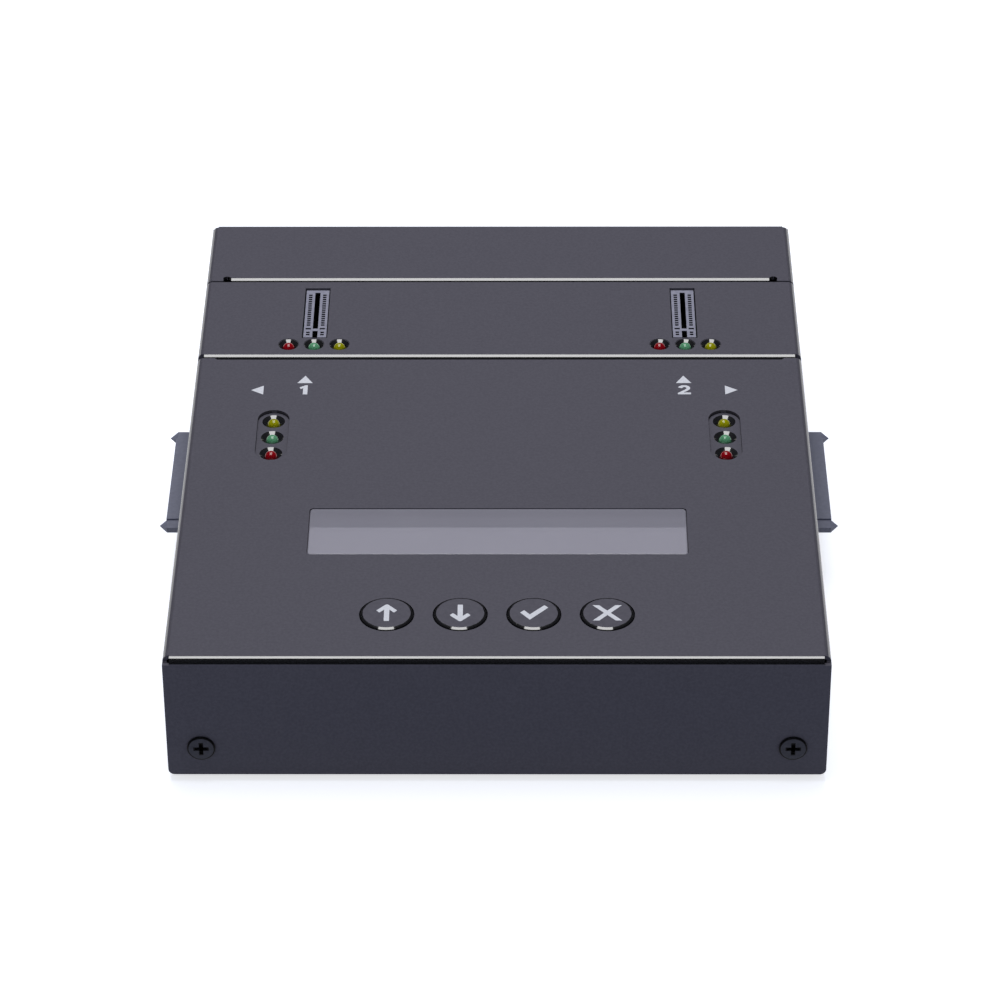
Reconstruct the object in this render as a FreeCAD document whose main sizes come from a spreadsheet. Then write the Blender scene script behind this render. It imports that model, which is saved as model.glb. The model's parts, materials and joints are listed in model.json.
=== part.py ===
"""Drive duplicator: a folded-steel bench unit with a drive socket on each side and two card slots.

X runs across the front, Y towards the back and Z up. The origin is under the middle of the
bounding box, on the plane that the four rubber feet stand on. Everything is in millimetres.
"""

import FreeCAD, Part
import math
import os
from types import SimpleNamespace

import Sketcher

SIZES = {
    # folded casing
    "case_width": 150.0,
    "case_height": 32.8,
    "sheet": 1.0,
    "bend_radius": 1.6,
    "tray_fit": 0.15,
    "front_cover_margin": 5.25,
    "seam_gap": 0.3,
    "rear_seam_gap": 0.6,
    "slot_cover_margin": 2.9,
    "rear_cover_depth": 27.9,
    "lip_height": 7.0,
    "edge_cut_depth": 0.7,
    "edge_tab_width": 4.3,
    "rear_lip_inset": 6.3,
    "notch_radius": 1.0,
    "notch_depth": 2.1,
    "notch_clear": 0.1,
    "face_corner_radius": 1.5,
    # bottom tray
    "flange_height": 6.0,
    "screw_tab_reach": 8.8,
    "screw_tab_margin": 3.2,
    "floor_vent_length": 24.0,
    "floor_vent_width": 2.4,
    "floor_vent_pitch": 6.0,
    "floor_vent_inset": 56.0,
    "rear_vent_height": 12.0,
    "rear_vent_width": 2.0,
    "rear_vent_pitch": 5.0,
    "rear_vent_from_side": 25.0,
    # screws and feet
    "thread": 2.9,
    "thread_play": 0.05,
    "clearance_play": 0.25,
    "head_diameter": 6.4,
    "head_height": 0.6,
    "cross_reach": 3.0,
    "cross_bar": 0.9,
    "cross_step": 0.35,
    "cross_depth": 1.5,
    "screw_length": 7.0,
    "face_screw_inset": 7.8,
    "face_screw_height": 7.8,
    "small_head_diameter": 5.0,
    "small_head_height": 1.2,
    "small_screw_length": 5.0,
    "side_tab_length": 10.0,
    "side_tab_reach": 8.0,
    "foot_diameter": 10.0,
    "foot_height": 2.0,
    "foot_inset": 12.0,
    # display
    "window_width": 88.6,
    "window_depth": 18.6,
    "window_behind_buttons": 32.6,
    "window_corner": 1.0,
    "lens_play": 0.12,
    "lens_recess": 0.05,
    "lens_edge": 0.25,
    "lens_flange": 2.0,
    "lens_flange_thickness": 1.0,
    "display_gap": 0.2,
    "display_view_inset": 1.0,
    "display_view_lap": 2.7,
    "display_frame_lap": 4.7,
    "display_frame_lip": 4.2,
    "display_frame_height": 8.0,
    "display_frame_wall": 0.6,
    "display_glass_thickness": 2.2,
    "display_board_side": 9.0,
    "display_board_edge": 5.0,
    "display_hole_inset": 4.0,
    "ribbon_width": 40.0,
    "ribbon_thickness": 1.0,
    "ribbon_drop": 5.0,
    "ribbon_run": 11.2,
    # buttons
    "button_pitch": 16.7,
    "button_from_front": 17.0,
    "button_diameter": 12.2,
    "button_play": 0.2,
    "button_proud": 0.45,
    "button_edge": 0.75,
    "button_flange": 1.0,
    "button_flange_thickness": 1.0,
    "button_stop_gap": 0.3,
    "button_stem_diameter": 5.0,
    "button_travel": 0.5,
    "key_board_drop": 8.3,
    "key_board_depth": 17.0,
    "key_hole_inset": 4.0,
    "switch_side": 6.0,
    "switch_height": 3.5,
    "plunger_diameter": 3.5,
    "plunger_proud": 1.5,
    "plunger_play": 0.1,
    "plunger_engaged": 1.2,
    # boards and what stands on them
    "board_thickness": 1.6,
    "spacer_diameter": 5.0,
    "spacer_gap": 0.3,
    "board_lift": 6.6,
    "main_board_side_gap": 3.5,
    "main_board_front_gap": 2.9,
    "main_board_rear_gap": 2.7,
    "board_screw_from_side": 17.0,
    "board_screw_inset": 4.5,
    "chip_side": 24.0,
    "chip_height": 1.8,
    "chip_inset": 30.0,
    "sink_height": 6.0,
    "sink_base": 1.5,
    "fin_thickness": 1.4,
    "capacitor_diameter": 8.0,
    "capacitor_height": 8.0,
    "buzzer_diameter": 12.0,
    "buzzer_height": 7.0,
    # card slots
    "card_slot_from_side": 28.7,
    "card_window_inset": 9.0,
    "card_slot_width": 5.75,
    "card_slot_length": 22.0,
    "card_slot_height": 11.0,
    "card_slot_recess": 0.5,
    "card_slot_front_gap": 1.0,
    "card_slot_rear_gap": 0.3,
    "card_slot_side_gap": 0.3,
    "card_gap": 1.3,
    "card_gap_depth": 8.5,
    "card_key_from_front": 3.0,
    "card_key_width": 1.0,
    "contact_pitch": 1.0,
    "contact_window": 0.68,
    "contact_window_width": 0.9,
    "contact_row": 1.78,
    "contact_depth": 4.0,
    "slot_board_front_gap": 2.6,
    "slot_board_rear_gap": 0.6,
    "link_width": 40.0,
    "link_depth": 6.0,
    # drive sockets on the sides
    "drive_inset": 6.05,
    "drive_end_wall": 1.3,
    "drive_middle_wall": 1.1,
    "drive_body_height": 5.4,
    "drive_nose_height": 3.6,
    "drive_root_gap": 0.4,
    "drive_proud": 5.5,
    "drive_inside": 11.0,
    "drive_opening_play": 0.6,
    "ear_length": 3.3,
    "ear_height": 1.4,
    "ear_tip": 1.6,
    "ear_lead": 0.3,
    "ear_drop": 0.4,
    "blade_gap": 2.4,
    "blade_depth": 6.0,
    "blade_wall": 0.9,
    "signal_length": 10.4,
    "power_length": 20.6,
    "key_leg": 1.3,
    "drive_contact_pitch": 1.27,
    "drive_contact_width": 0.6,
    "drive_contact_thickness": 0.35,
    # status lamps
    "lamp_diameter": 3.0,
    "lamp_height": 5.3,
    "lamp_rim": 0.4,
    "lamp_play": 0.1,
    "lamp_lead": 0.45,
    "lamp_spacer_wall": 0.7,
    "status_from_side": 20.3,
    "status_inset": 18.7,
    "status_pitch": 6.87,
    "status_recess": 0.8,
    "status_insert_width": 7.5,
    "status_insert_play": 0.1,
    "status_lamp_proud": 0.5,
    "well_cone": 1.15,
    "well_cone_depth": 0.75,
    "well_body_depth": 2.8,
    "well_flange": 1.2,
    "slot_lamp_inset": 6.0,
    "slot_lamp_pitch": 6.35,
    "slot_lamp_proud": 0.2,
    "collar_play": 0.05,
    "collar_recess": 0.1,
    "collar_rim": 0.1,
    "slot_well_cone": 0.85,
    "slot_well_cone_depth": 0.6,
    # power inlet and rocker on the back
    "jack_from_side": 25.0,
    "jack_axis_height": 6.5,
    "jack_length": 14.0,
    "jack_wall": 1.5,
    "jack_bore": 6.0,
    "jack_bore_depth": 10.5,
    "jack_pin_diameter": 2.1,
    "jack_pin_recess": 0.8,
    "jack_hole": 8.4,
    "panel_gap": 0.2,
    "rocker_from_jack": 24.0,
    "rocker_opening_width": 13.2,
    "rocker_opening_height": 8.8,
    "rocker_frame_lap": 1.0,
    "rocker_frame_proud": 1.6,
    "rocker_body_depth": 11.0,
    "rocker_wall": 0.9,
    "rocker_end_play": 0.75,
    "rocker_side_play": 0.35,
    "rocker_crown": 1.9,
    "rocker_tilt": 9.0,
    "rocker_hinge_depth": 1.4,
    "rocker_pin_diameter": 2.0,
    "rocker_pin_play": 0.05,
}

doc = FreeCAD.newDocument("DriveDuplicator")
VECTOR = FreeCAD.Vector


class Size:
    """A length together with the spreadsheet formula that it comes from."""

    def __init__(self, value, formula):
        self.value = value
        self.formula = formula

    def __add__(self, other):
        other = as_size(other)
        return Size(self.value + other.value, f"({self.formula} + {other.formula})")

    def __radd__(self, other):
        return as_size(other) + self

    def __sub__(self, other):
        other = as_size(other)
        return Size(self.value - other.value, f"({self.formula} - {other.formula})")

    def __rsub__(self, other):
        return as_size(other) - self

    def __mul__(self, other):
        other = as_size(other)
        return Size(self.value * other.value, f"({self.formula} * {other.formula})")

    def __rmul__(self, other):
        return as_size(other) * self

    def __truediv__(self, other):
        other = as_size(other)
        return Size(self.value / other.value, f"({self.formula} / {other.formula})")

    def __neg__(self):
        return Size(-self.value, f"(0 - {self.formula})")


def as_size(number):
    """A plain number as a size with no formula behind it."""
    if isinstance(number, Size):
        return number
    return Size(float(number), repr(float(number)))


def sine(angle):
    return Size(math.sin(math.radians(angle.value)), f"sin({angle.formula} * 1deg)")


def cosine(angle):
    return Size(math.cos(math.radians(angle.value)), f"cos({angle.formula} * 1deg)")


def write_sheet():
    """The driving sizes as spreadsheet cells, and the same sizes as values for the code below."""
    sheet = doc.addObject("Spreadsheet::Sheet", "Sizes")
    values = {}
    for row, (name, number) in enumerate(SIZES.items(), start=1):
        sheet.set(f"A{row}", name)
        sheet.set(f"B{row}", str(number))
        sheet.setAlias(f"B{row}", name)
        values[name] = Size(number, f"Sizes.{name}")
    doc.recompute()
    return SimpleNamespace(**values)


s = write_sheet()


# ---------------------------------------------------------------- sketches and features


def bind(target, prop, amount):
    """Ties a property to the spreadsheet."""
    target.setExpression(prop, as_size(amount).formula)


def hold(sketch, kind, places, amount):
    """A dimension of a sketch, tied to the spreadsheet."""
    amount = as_size(amount)
    index = sketch.addConstraint(Sketcher.Constraint(kind, *places, amount.value))
    sketch.setExpression(f"Constraints[{index}]", amount.formula)


def hold_point(sketch, geometry, point, x, y):
    """Fixes a point of a sketch by its distances from the origin."""
    hold(sketch, "DistanceX", (-1, 1, geometry, point), x)
    hold(sketch, "DistanceY", (-1, 1, geometry, point), y)


def polygon(*corners):
    """A closed outline through corners."""
    points = [(as_size(x), as_size(y)) for x, y in corners]

    def draw(sketch):
        ends = points[1:] + points[:1]
        lines = []
        for (x1, y1), (x2, y2) in zip(points, ends):
            line = Part.LineSegment(VECTOR(x1.value, y1.value, 0), VECTOR(x2.value, y2.value, 0))
            lines.append(sketch.addGeometry(line, False))
        for here, after in zip(lines, lines[1:] + lines[:1]):
            sketch.addConstraint(Sketcher.Constraint("Coincident", here, 2, after, 1))
        for line, (x, y) in zip(lines, points):
            hold_point(sketch, line, 1, x, y)

    return draw


def rectangle(x1, x2, y1, y2):
    return polygon((x1, y1), (x2, y1), (x2, y2), (x1, y2))


def centred(x, y, width, height):
    """A rectangle about a centre."""
    x, y, width, height = (as_size(v) for v in (x, y, width, height))
    return rectangle(x - width / 2, x + width / 2, y - height / 2, y + height / 2)


def disc(x, y, diameter):
    """A circle."""
    x, y, diameter = (as_size(v) for v in (x, y, diameter))

    def draw(sketch):
        circle = Part.Circle(VECTOR(x.value, y.value, 0), VECTOR(0, 0, 1), diameter.value / 2)
        index = sketch.addGeometry(circle, False)
        hold_point(sketch, index, 3, x, y)
        hold(sketch, "Diameter", (index,), diameter)

    return draw


def slot(x1, y1, x2, y2, width):
    """Two half circles about two centres, joined by straight sides."""
    x1, y1, x2, y2, width = (as_size(v) for v in (x1, y1, x2, y2, width))

    def draw(sketch):
        first = VECTOR(x1.value, y1.value, 0)
        second = VECTOR(x2.value, y2.value, 0)
        radius = width.value / 2
        run = second - first
        angle = math.atan2(run.y, run.x)
        side = VECTOR(-math.sin(angle), math.cos(angle), 0) * radius
        quarter = math.pi / 2
        up = VECTOR(0, 0, 1)
        start_cap = Part.ArcOfCircle(Part.Circle(first, up, radius), angle + quarter, angle + 3 * quarter)
        end_cap = Part.ArcOfCircle(Part.Circle(second, up, radius), angle - quarter, angle + quarter)
        start_cap = sketch.addGeometry(start_cap, False)
        end_cap = sketch.addGeometry(end_cap, False)
        right = sketch.addGeometry(Part.LineSegment(first - side, second - side), False)
        left = sketch.addGeometry(Part.LineSegment(second + side, first + side), False)
        loop = ((start_cap, right), (right, end_cap), (end_cap, left), (left, start_cap))
        for here, after in loop:
            sketch.addConstraint(Sketcher.Constraint("Tangent", here, 2, after, 1))
        sketch.addConstraint(Sketcher.Constraint("Equal", start_cap, end_cap))
        hold(sketch, "Radius", (start_cap,), width / 2)
        hold_point(sketch, start_cap, 3, x1, y1)
        hold_point(sketch, end_cap, 3, x2, y2)

    return draw


def new_body(label):
    """An empty body; one body may hold several separate solids."""
    body = doc.addObject("PartDesign::Body", label)
    body.Label = label
    body.AllowCompound = True
    return body


def origin_feature(body, role):
    return next(item for item in body.Origin.OriginFeatures if item.Role == role)


def draw_on(body, name, plane, height, shapes):
    """A sketch of closed shapes, parallel to an origin plane and height along its normal."""
    sketch = body.newObject("Sketcher::SketchObject", name)
    sketch.AttachmentSupport = [(origin_feature(body, plane + "_Plane"), "")]
    sketch.MapMode = "FlatFace"
    bind(sketch, "AttachmentOffset.Base.z", height)
    for draw in shapes:
        draw(sketch)
    return sketch


def extrude(kind, body, name, plane, start, end, shapes):
    """A pad or pocket from start to end along X, Y or Z, its outline drawn square to that axis."""
    start, end = as_size(start), as_size(end)
    height = -end if plane == "XZ" else start
    sketch = draw_on(body, f"{body.Name}_{name}_outline", plane, height, shapes)
    feature = body.newObject(kind, f"{body.Name}_{name}")
    feature.Profile = sketch
    bind(feature, "Length", end - start)
    return feature


def settle(feature):
    """Recomputes, and stops if the feature could not be made."""
    doc.recompute()
    if not feature.isValid():
        raise RuntimeError(f"{feature.Name}: {feature.getStatusString()}")
    if not feature.Shape.isValid() or feature.Shape.Volume <= 0:
        raise RuntimeError(f"{feature.Name} is not a sound solid")
    return feature


def add(body, name, plane, start, end, *shapes):
    return settle(extrude("PartDesign::Pad", body, name, plane, start, end, shapes))


def cut(body, name, plane, start, end, *shapes):
    before = body.Shape.Volume
    feature = extrude("PartDesign::Pocket", body, name, plane, start, end, shapes)
    feature.Reversed = True
    settle(feature)
    if body.Shape.Volume >= before:
        raise RuntimeError(f"{feature.Name} cuts nothing")
    return feature


def repeat(body, feature, axis, pitch, count):
    """Copies a feature along an axis of the body."""
    pattern = body.newObject("PartDesign::LinearPattern", feature.Name + "_row")
    pattern.Originals = [feature]
    pattern.Direction = (origin_feature(body, axis + "_Axis"), [""])
    pattern.Mode = "Spacing"
    bind(pattern, "Offset", pitch)
    pattern.Occurrences = count
    body.Tip = pattern
    return settle(pattern)


def close(number, choices):
    return any(abs(number - as_size(choice).value) < 1e-4 for choice in choices)


def straight_edges(shape, axis, **places):
    """Names of the edges along an axis whose other coordinates are among the given places."""
    index = "xyz".index(axis)
    names = []
    for number, edge in enumerate(shape.Edges, start=1):
        if edge.Curve.TypeId != "Part::GeomLine" or abs(edge.tangentAt(edge.FirstParameter)[index]) < 0.999:
            continue
        middle = edge.CenterOfMass
        if all(close(getattr(middle, letter), choices) for letter, choices in places.items()):
            names.append(f"Edge{number}")
    return names


def round_edges(shape, radius, **places):
    """Names of the circular edges of a radius whose centres are among the given places."""
    names = []
    for number, edge in enumerate(shape.Edges, start=1):
        if edge.Curve.TypeId != "Part::GeomCircle" or not close(edge.Curve.Radius, (radius,)):
            continue
        centre = edge.Curve.Center
        if all(close(getattr(centre, letter), choices) for letter, choices in places.items()):
            names.append(f"Edge{number}")
    return names


def dress(kind, prop, body, name, amount, edges):
    """A fillet or chamfer on named edges of the body's last feature."""
    if not edges:
        raise RuntimeError(f"{body.Name} has no edge for {name}")
    feature = body.newObject(kind, f"{body.Name}_{name}")
    feature.Base = (body.Tip if body.Tip != feature else feature.BaseFeature, edges)
    bind(feature, prop, amount)
    return settle(feature)


def fillet(body, name, radius, edges):
    return dress("PartDesign::Fillet", "Radius", body, name, radius, edges)


def countersink(body, name, spots, diameter, width, depth, level):
    """Widens round holes into cones that are width wider all round at level and depth deep."""
    shapes = [disc(x, y, diameter) for x, y in spots]
    feature = extrude("PartDesign::Pocket", body, name, "XY", level - depth, level, shapes)
    feature.Reversed = True
    feature.setExpression("TaperAngle", f"atan({width.formula} / {depth.formula})")
    settle(feature)
    if len(round_edges(body.Shape, diameter / 2 + width, z=(level,))) != len(spots):
        raise RuntimeError(f"{feature.Name} did not give every hole its cone")
    return feature


# ---------------------------------------------------------------- shared places

rocker_reach = s.rocker_opening_width / 2 - s.rocker_wall - s.rocker_end_play
rocker_top = s.rocker_hinge_depth + s.rocker_crown
rocker_tip = rocker_top * cosine(s.rocker_tilt) + rocker_reach * sine(s.rocker_tilt) - s.rocker_hinge_depth

half_width = s.case_width / 2
wall_x = half_width - s.sheet

display_frame_width = s.window_width + 2 * s.display_frame_lap
display_frame_depth = s.window_depth + 2 * s.display_frame_lip
display_board_width = display_frame_width + 2 * s.display_board_side
display_board_depth = display_frame_depth + 2 * s.display_board_edge
drive_length = (
    s.signal_length + s.power_length + 2 * s.drive_end_wall + s.drive_middle_wall + 2 * s.ear_length
)

# Distances back from the front face.
window_middle = s.button_from_front + s.window_behind_buttons
main_board_front = window_middle + display_board_depth / 2 + s.main_board_front_gap
drive_middle = main_board_front + s.drive_inset + drive_length / 2
status_middle = main_board_front + s.status_inset
front_cover_depth = drive_middle + drive_length / 2 + s.front_cover_margin
slot_cover_front = front_cover_depth + s.seam_gap
card_window_front = slot_cover_front + s.card_window_inset
card_window_depth = s.card_slot_length + s.card_slot_front_gap + s.card_slot_rear_gap
slot_cover_rear = card_window_front + card_window_depth + s.slot_cover_margin
rear_cover_front = slot_cover_rear + s.rear_seam_gap
case_depth = rear_cover_front + s.rear_cover_depth
main_board_rear = case_depth - s.main_board_rear_gap

front_y = -(case_depth + rocker_tip - s.head_height) / 2
rear_y = front_y + case_depth
under_z = s.foot_height
floor_z = under_z + s.sheet
top_z = under_z + s.case_height
ceiling_z = top_z - s.sheet
inner_bend = s.bend_radius - s.sheet

face_screw_x = half_width - s.face_screw_inset
face_screw_z = under_z + s.face_screw_height
tapped = s.thread + 2 * s.thread_play
clearance = s.thread + 2 * s.clearance_play
side_tab_y = front_y + (slot_cover_front + slot_cover_rear) / 2
side_tab_x = wall_x - s.side_tab_reach / 2

card_slot_x = half_width - s.card_slot_from_side
card_window_width = s.card_slot_width + 2 * s.card_slot_side_gap
status_x = half_width - s.status_from_side
lamp_bore = s.lamp_diameter + 2 * s.lamp_play
slot_lamp_collar = lamp_bore + 2 * (s.slot_well_cone + s.collar_rim)
slot_lamp_middle = slot_cover_front + s.slot_lamp_inset
lamp_spacer_diameter = s.lamp_diameter + 2 * s.lamp_spacer_wall

main_board_z = floor_z + s.board_lift
main_board_top = main_board_z + s.board_thickness
board_screw_x = half_width - s.board_screw_from_side
slot_board_top = top_z - s.card_slot_recess - s.card_slot_height
slot_board_z = slot_board_top - s.board_thickness
slot_screw_x = (
    card_slot_x + s.slot_lamp_pitch + lamp_spacer_diameter / 2 + s.spacer_gap + s.spacer_diameter / 2
)
display_top = ceiling_z - s.lens_flange_thickness - s.display_gap
display_board_top = display_top - s.display_frame_height
display_board_z = display_board_top - s.board_thickness
key_board_top = ceiling_z - s.key_board_drop
key_board_z = key_board_top - s.board_thickness
key_screw_x = (
    1.5 * s.button_pitch + s.button_diameter / 2 + s.button_flange + s.spacer_gap + s.spacer_diameter / 2
)
rear_axis_z = main_board_top + s.jack_axis_height
jack_x = half_width - s.jack_from_side
rocker_x = jack_x - s.rocker_from_jack
drive_top = main_board_top + s.drive_body_height
drive_axis_z = drive_top - s.drive_nose_height / 2

SIDES = (-1, 1)
BUTTON_NAMES = ("up", "down", "confirm", "cancel")
LAMP_COLOURS = ("red", "green", "yellow")
SHORT_COUNT = 2
LONG_COUNT = 15


def from_front(distance):
    """The Y of a place that lies a distance behind the front face."""
    return front_y + distance


def button_x(index):
    return s.button_pitch * (index - 1.5)


def status_y(index):
    """Lamps in a status column: red in front, then green, then yellow."""
    return from_front(status_middle) + s.status_pitch * (index - 1)


def slot_lamp_x(side, index):
    """Lamps in front of a card slot: red on the left, then green, then yellow."""
    return card_slot_x * side + s.slot_lamp_pitch * (index - 1)


# ---------------------------------------------------------------- casing


def folded_channel(body, start, end):
    """A top sheet with a wall folded down at each side, from start to end along Y."""
    outline = polygon(
        (-half_width, under_z),
        (-wall_x, under_z),
        (-wall_x, ceiling_z),
        (wall_x, ceiling_z),
        (wall_x, under_z),
        (half_width, under_z),
        (half_width, top_z),
        (-half_width, top_z),
    )
    add(body, "channel", "XZ", start, end, outline)
    outer = straight_edges(body.Shape, "y", x=(-half_width, half_width), z=(top_z,))
    fillet(body, "side_bends", s.bend_radius, outer)
    inner = straight_edges(body.Shape, "y", x=(-wall_x, wall_x), z=(ceiling_z,))
    fillet(body, "side_bends_inside", inner_bend, inner)


def folded_face(body, name, face, inward, bottom, reach):
    """A sheet folded down from the top at an end, across the width between the side bends."""
    outline = polygon(
        (face, bottom),
        (face, top_z),
        (face + s.bend_radius * inward, top_z),
        (face + s.bend_radius * inward, ceiling_z),
        (face + s.sheet * inward, ceiling_z),
        (face + s.sheet * inward, bottom),
    )
    add(body, name, "YZ", -reach, reach, outline)
    outer = straight_edges(body.Shape, "x", y=(face,), z=(top_z,))
    outer = [edge for edge in outer if abs(edge_of(body, edge).CenterOfMass.x) < 1]
    fillet(body, name + "_bend", s.bend_radius, outer)
    inner = straight_edges(body.Shape, "x", y=(face + s.sheet * inward,), z=(ceiling_z,))
    fillet(body, name + "_bend_inside", inner_bend, inner)


def edge_of(body, name):
    return body.Shape.Edges[int(name[4:]) - 1]


def end_plate(body, name, face, inward):
    """The full-width lower part of an end face, with its two bottom corners rounded."""
    start, end = (face, face + s.sheet) if inward > 0 else (face - s.sheet, face)
    plate = rectangle(-half_width, half_width, under_z, top_z - s.bend_radius)
    add(body, name, "XZ", start, end, plate)
    corners = straight_edges(body.Shape, "y", x=(-half_width, half_width), z=(under_z,))
    corners = [edge for edge in corners if close(edge_of(body, edge).Length, (s.sheet,))]
    fillet(body, name + "_corners", s.face_corner_radius, corners)


def face_screw_holes(body, name, start, end, diameter):
    holes = [disc(face_screw_x * side, face_screw_z, diameter) for side in SIDES]
    cut(body, name, "XZ", start, end, *holes)


def make_front_cover():
    """Top, front face and side walls of the front two thirds."""
    body = new_body("front_cover")
    rear = from_front(front_cover_depth)
    folded_channel(body, from_front(s.sheet + s.tray_fit), rear)
    corner = half_width - s.bend_radius
    for side in SIDES:
        name = "relief_left" if side < 0 else "relief_right"
        x1, x2 = (-half_width - 1, -corner) if side < 0 else (corner, half_width + 1)
        relief = rectangle(x1, x2, front_y, from_front(s.bend_radius))
        cut(body, name, "XY", top_z - s.bend_radius, top_z + 1, relief)
    folded_face(body, "face", front_y, 1, under_z, corner)
    end_plate(body, "face_plate", front_y, 1)
    face_screw_holes(body, "screw_holes", front_y - 1, from_front(s.sheet + 0.1), clearance)

    window_y = from_front(window_middle)
    window = centred(0, window_y, s.window_width, s.window_depth)
    cut(body, "window", "XY", ceiling_z - 1, top_z + 1, window)
    edges = straight_edges(
        body.Shape,
        "z",
        x=(-s.window_width / 2, s.window_width / 2),
        y=(window_y - s.window_depth / 2, window_y + s.window_depth / 2),
    )
    fillet(body, "window_corners", s.window_corner, edges)

    hole = s.button_diameter + 2 * s.button_play
    holes = [disc(button_x(i), from_front(s.button_from_front), hole) for i in range(len(BUTTON_NAMES))]
    cut(body, "button_holes", "XY", ceiling_z - 1, top_z + 1, *holes)

    width = s.status_insert_width + 2 * s.status_insert_play
    slots = [slot(status_x * side, status_y(0), status_x * side, status_y(2), width) for side in SIDES]
    cut(body, "status_slots", "XY", ceiling_z - 1, top_z + 1, *slots)

    play = s.drive_opening_play
    drive_y = from_front(drive_middle)
    opening = rectangle(
        drive_y - drive_length / 2 - play,
        drive_y + drive_length / 2 + play,
        under_z - 1,
        drive_top + play,
    )
    cut(body, "drive_openings", "YZ", -half_width - 1, half_width + 1, opening)

    tab = half_width - s.edge_tab_width
    lip = polygon(
        (-tab, rear + 0.5),
        (-tab, rear),
        (-tab + s.edge_cut_depth, rear - s.edge_cut_depth),
        (tab - s.edge_cut_depth, rear - s.edge_cut_depth),
        (tab, rear),
        (tab, rear + 0.5),
    )
    cut(body, "rear_edge", "XY", ceiling_z - 1, top_z + 1, lip)
    return body


def make_slot_cover():
    """The bridge between the two main covers, with the card windows and their lamps."""
    body = new_body("slot_cover")
    front = from_front(slot_cover_front)
    rear = from_front(slot_cover_rear)
    folded_channel(body, front, rear)
    corner = half_width - s.bend_radius
    for side in SIDES:
        name = "relief_left" if side < 0 else "relief_right"
        x1, x2 = (-half_width - 1, -corner) if side < 0 else (corner, half_width + 1)
        relief = rectangle(x1, x2, front - 1, front + s.bend_radius)
        cut(body, name, "XY", top_z - s.bend_radius, top_z + 1, relief)
    folded_face(body, "lip", front, 1, top_z - s.lip_height, corner)

    first = from_front(card_window_front)
    windows = [
        rectangle(
            card_slot_x * side - card_window_width / 2,
            card_slot_x * side + card_window_width / 2,
            first,
            first + card_window_depth,
        )
        for side in SIDES
    ]
    cut(body, "card_windows", "XY", ceiling_z - 1, top_z + 1, *windows)
    holes = [
        disc(slot_lamp_x(side, i), from_front(slot_lamp_middle), slot_lamp_collar + 2 * s.collar_play)
        for side in SIDES
        for i in range(len(LAMP_COLOURS))
    ]
    cut(body, "lamp_holes", "XY", ceiling_z - 1, top_z + 1, *holes)

    tabs = [centred(side_tab_x * side, side_tab_y, s.side_tab_reach, s.side_tab_length) for side in SIDES]
    add(body, "screw_tabs", "XY", floor_z, floor_z + s.sheet, *tabs)
    inner = straight_edges(body.Shape, "y", x=(-wall_x, wall_x), z=(floor_z + s.sheet,))
    fillet(body, "tab_bends", inner_bend, inner)
    holes = [disc(side_tab_x * side, side_tab_y, tapped) for side in SIDES]
    cut(body, "tab_threads", "XY", floor_z - 0.5, floor_z + s.sheet + 0.5, *holes)
    return body


def make_rear_cover():
    """Top, back panel and side walls of the rear end."""
    body = new_body("rear_cover")
    front = from_front(rear_cover_front)
    folded_channel(body, front, rear_y - s.sheet - s.tray_fit)
    lip_reach = half_width - s.rear_lip_inset
    notch_end = lip_reach + 2 * s.notch_radius
    reliefs = [
        rectangle(*sorted_pair(lip_reach * side, notch_end * side), front - 1, front + s.bend_radius)
        for side in SIDES
    ]
    cut(body, "lip_reliefs", "XY", ceiling_z - 1, top_z + 1, *reliefs)
    folded_face(body, "lip", front, 1, top_z - s.lip_height, lip_reach)
    notch_x = lip_reach + s.notch_radius + s.notch_clear
    notch_y = front + s.notch_depth - s.notch_radius
    notches = [disc(notch_x * side, notch_y, 2 * s.notch_radius) for side in SIDES]
    cut(body, "notches", "XY", ceiling_z - 0.5, top_z + 0.5, *notches)

    corner = half_width - s.bend_radius
    for side in SIDES:
        name = "relief_left" if side < 0 else "relief_right"
        x1, x2 = (-half_width - 1, -corner) if side < 0 else (corner, half_width + 1)
        relief = rectangle(x1, x2, rear_y - s.bend_radius, rear_y)
        cut(body, name, "XY", top_z - s.bend_radius, top_z + 1, relief)
    folded_face(body, "panel", rear_y, -1, under_z, corner)
    end_plate(body, "panel_plate", rear_y, -1)
    face_screw_holes(body, "screw_holes", rear_y - s.sheet - 0.1, rear_y + 1, clearance)

    jack_hole = disc(jack_x, rear_axis_z, s.jack_hole)
    cut(body, "jack_hole", "XZ", rear_y - 2 * s.sheet, rear_y + 1, jack_hole)
    opening = centred(rocker_x, rear_axis_z, s.rocker_opening_width, s.rocker_opening_height)
    cut(body, "rocker_opening", "XZ", rear_y - 2 * s.sheet, rear_y + 1, opening)
    reach = (s.rear_vent_height - s.rear_vent_width) / 2
    vent_x = s.rear_vent_from_side - half_width
    vent = slot(vent_x, rear_axis_z - reach, vent_x, rear_axis_z + reach, s.rear_vent_width)
    vent = cut(body, "vent", "XZ", rear_y - 2 * s.sheet, rear_y + 1, vent)
    repeat(body, vent, "X", s.rear_vent_pitch, 10)
    return body


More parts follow.
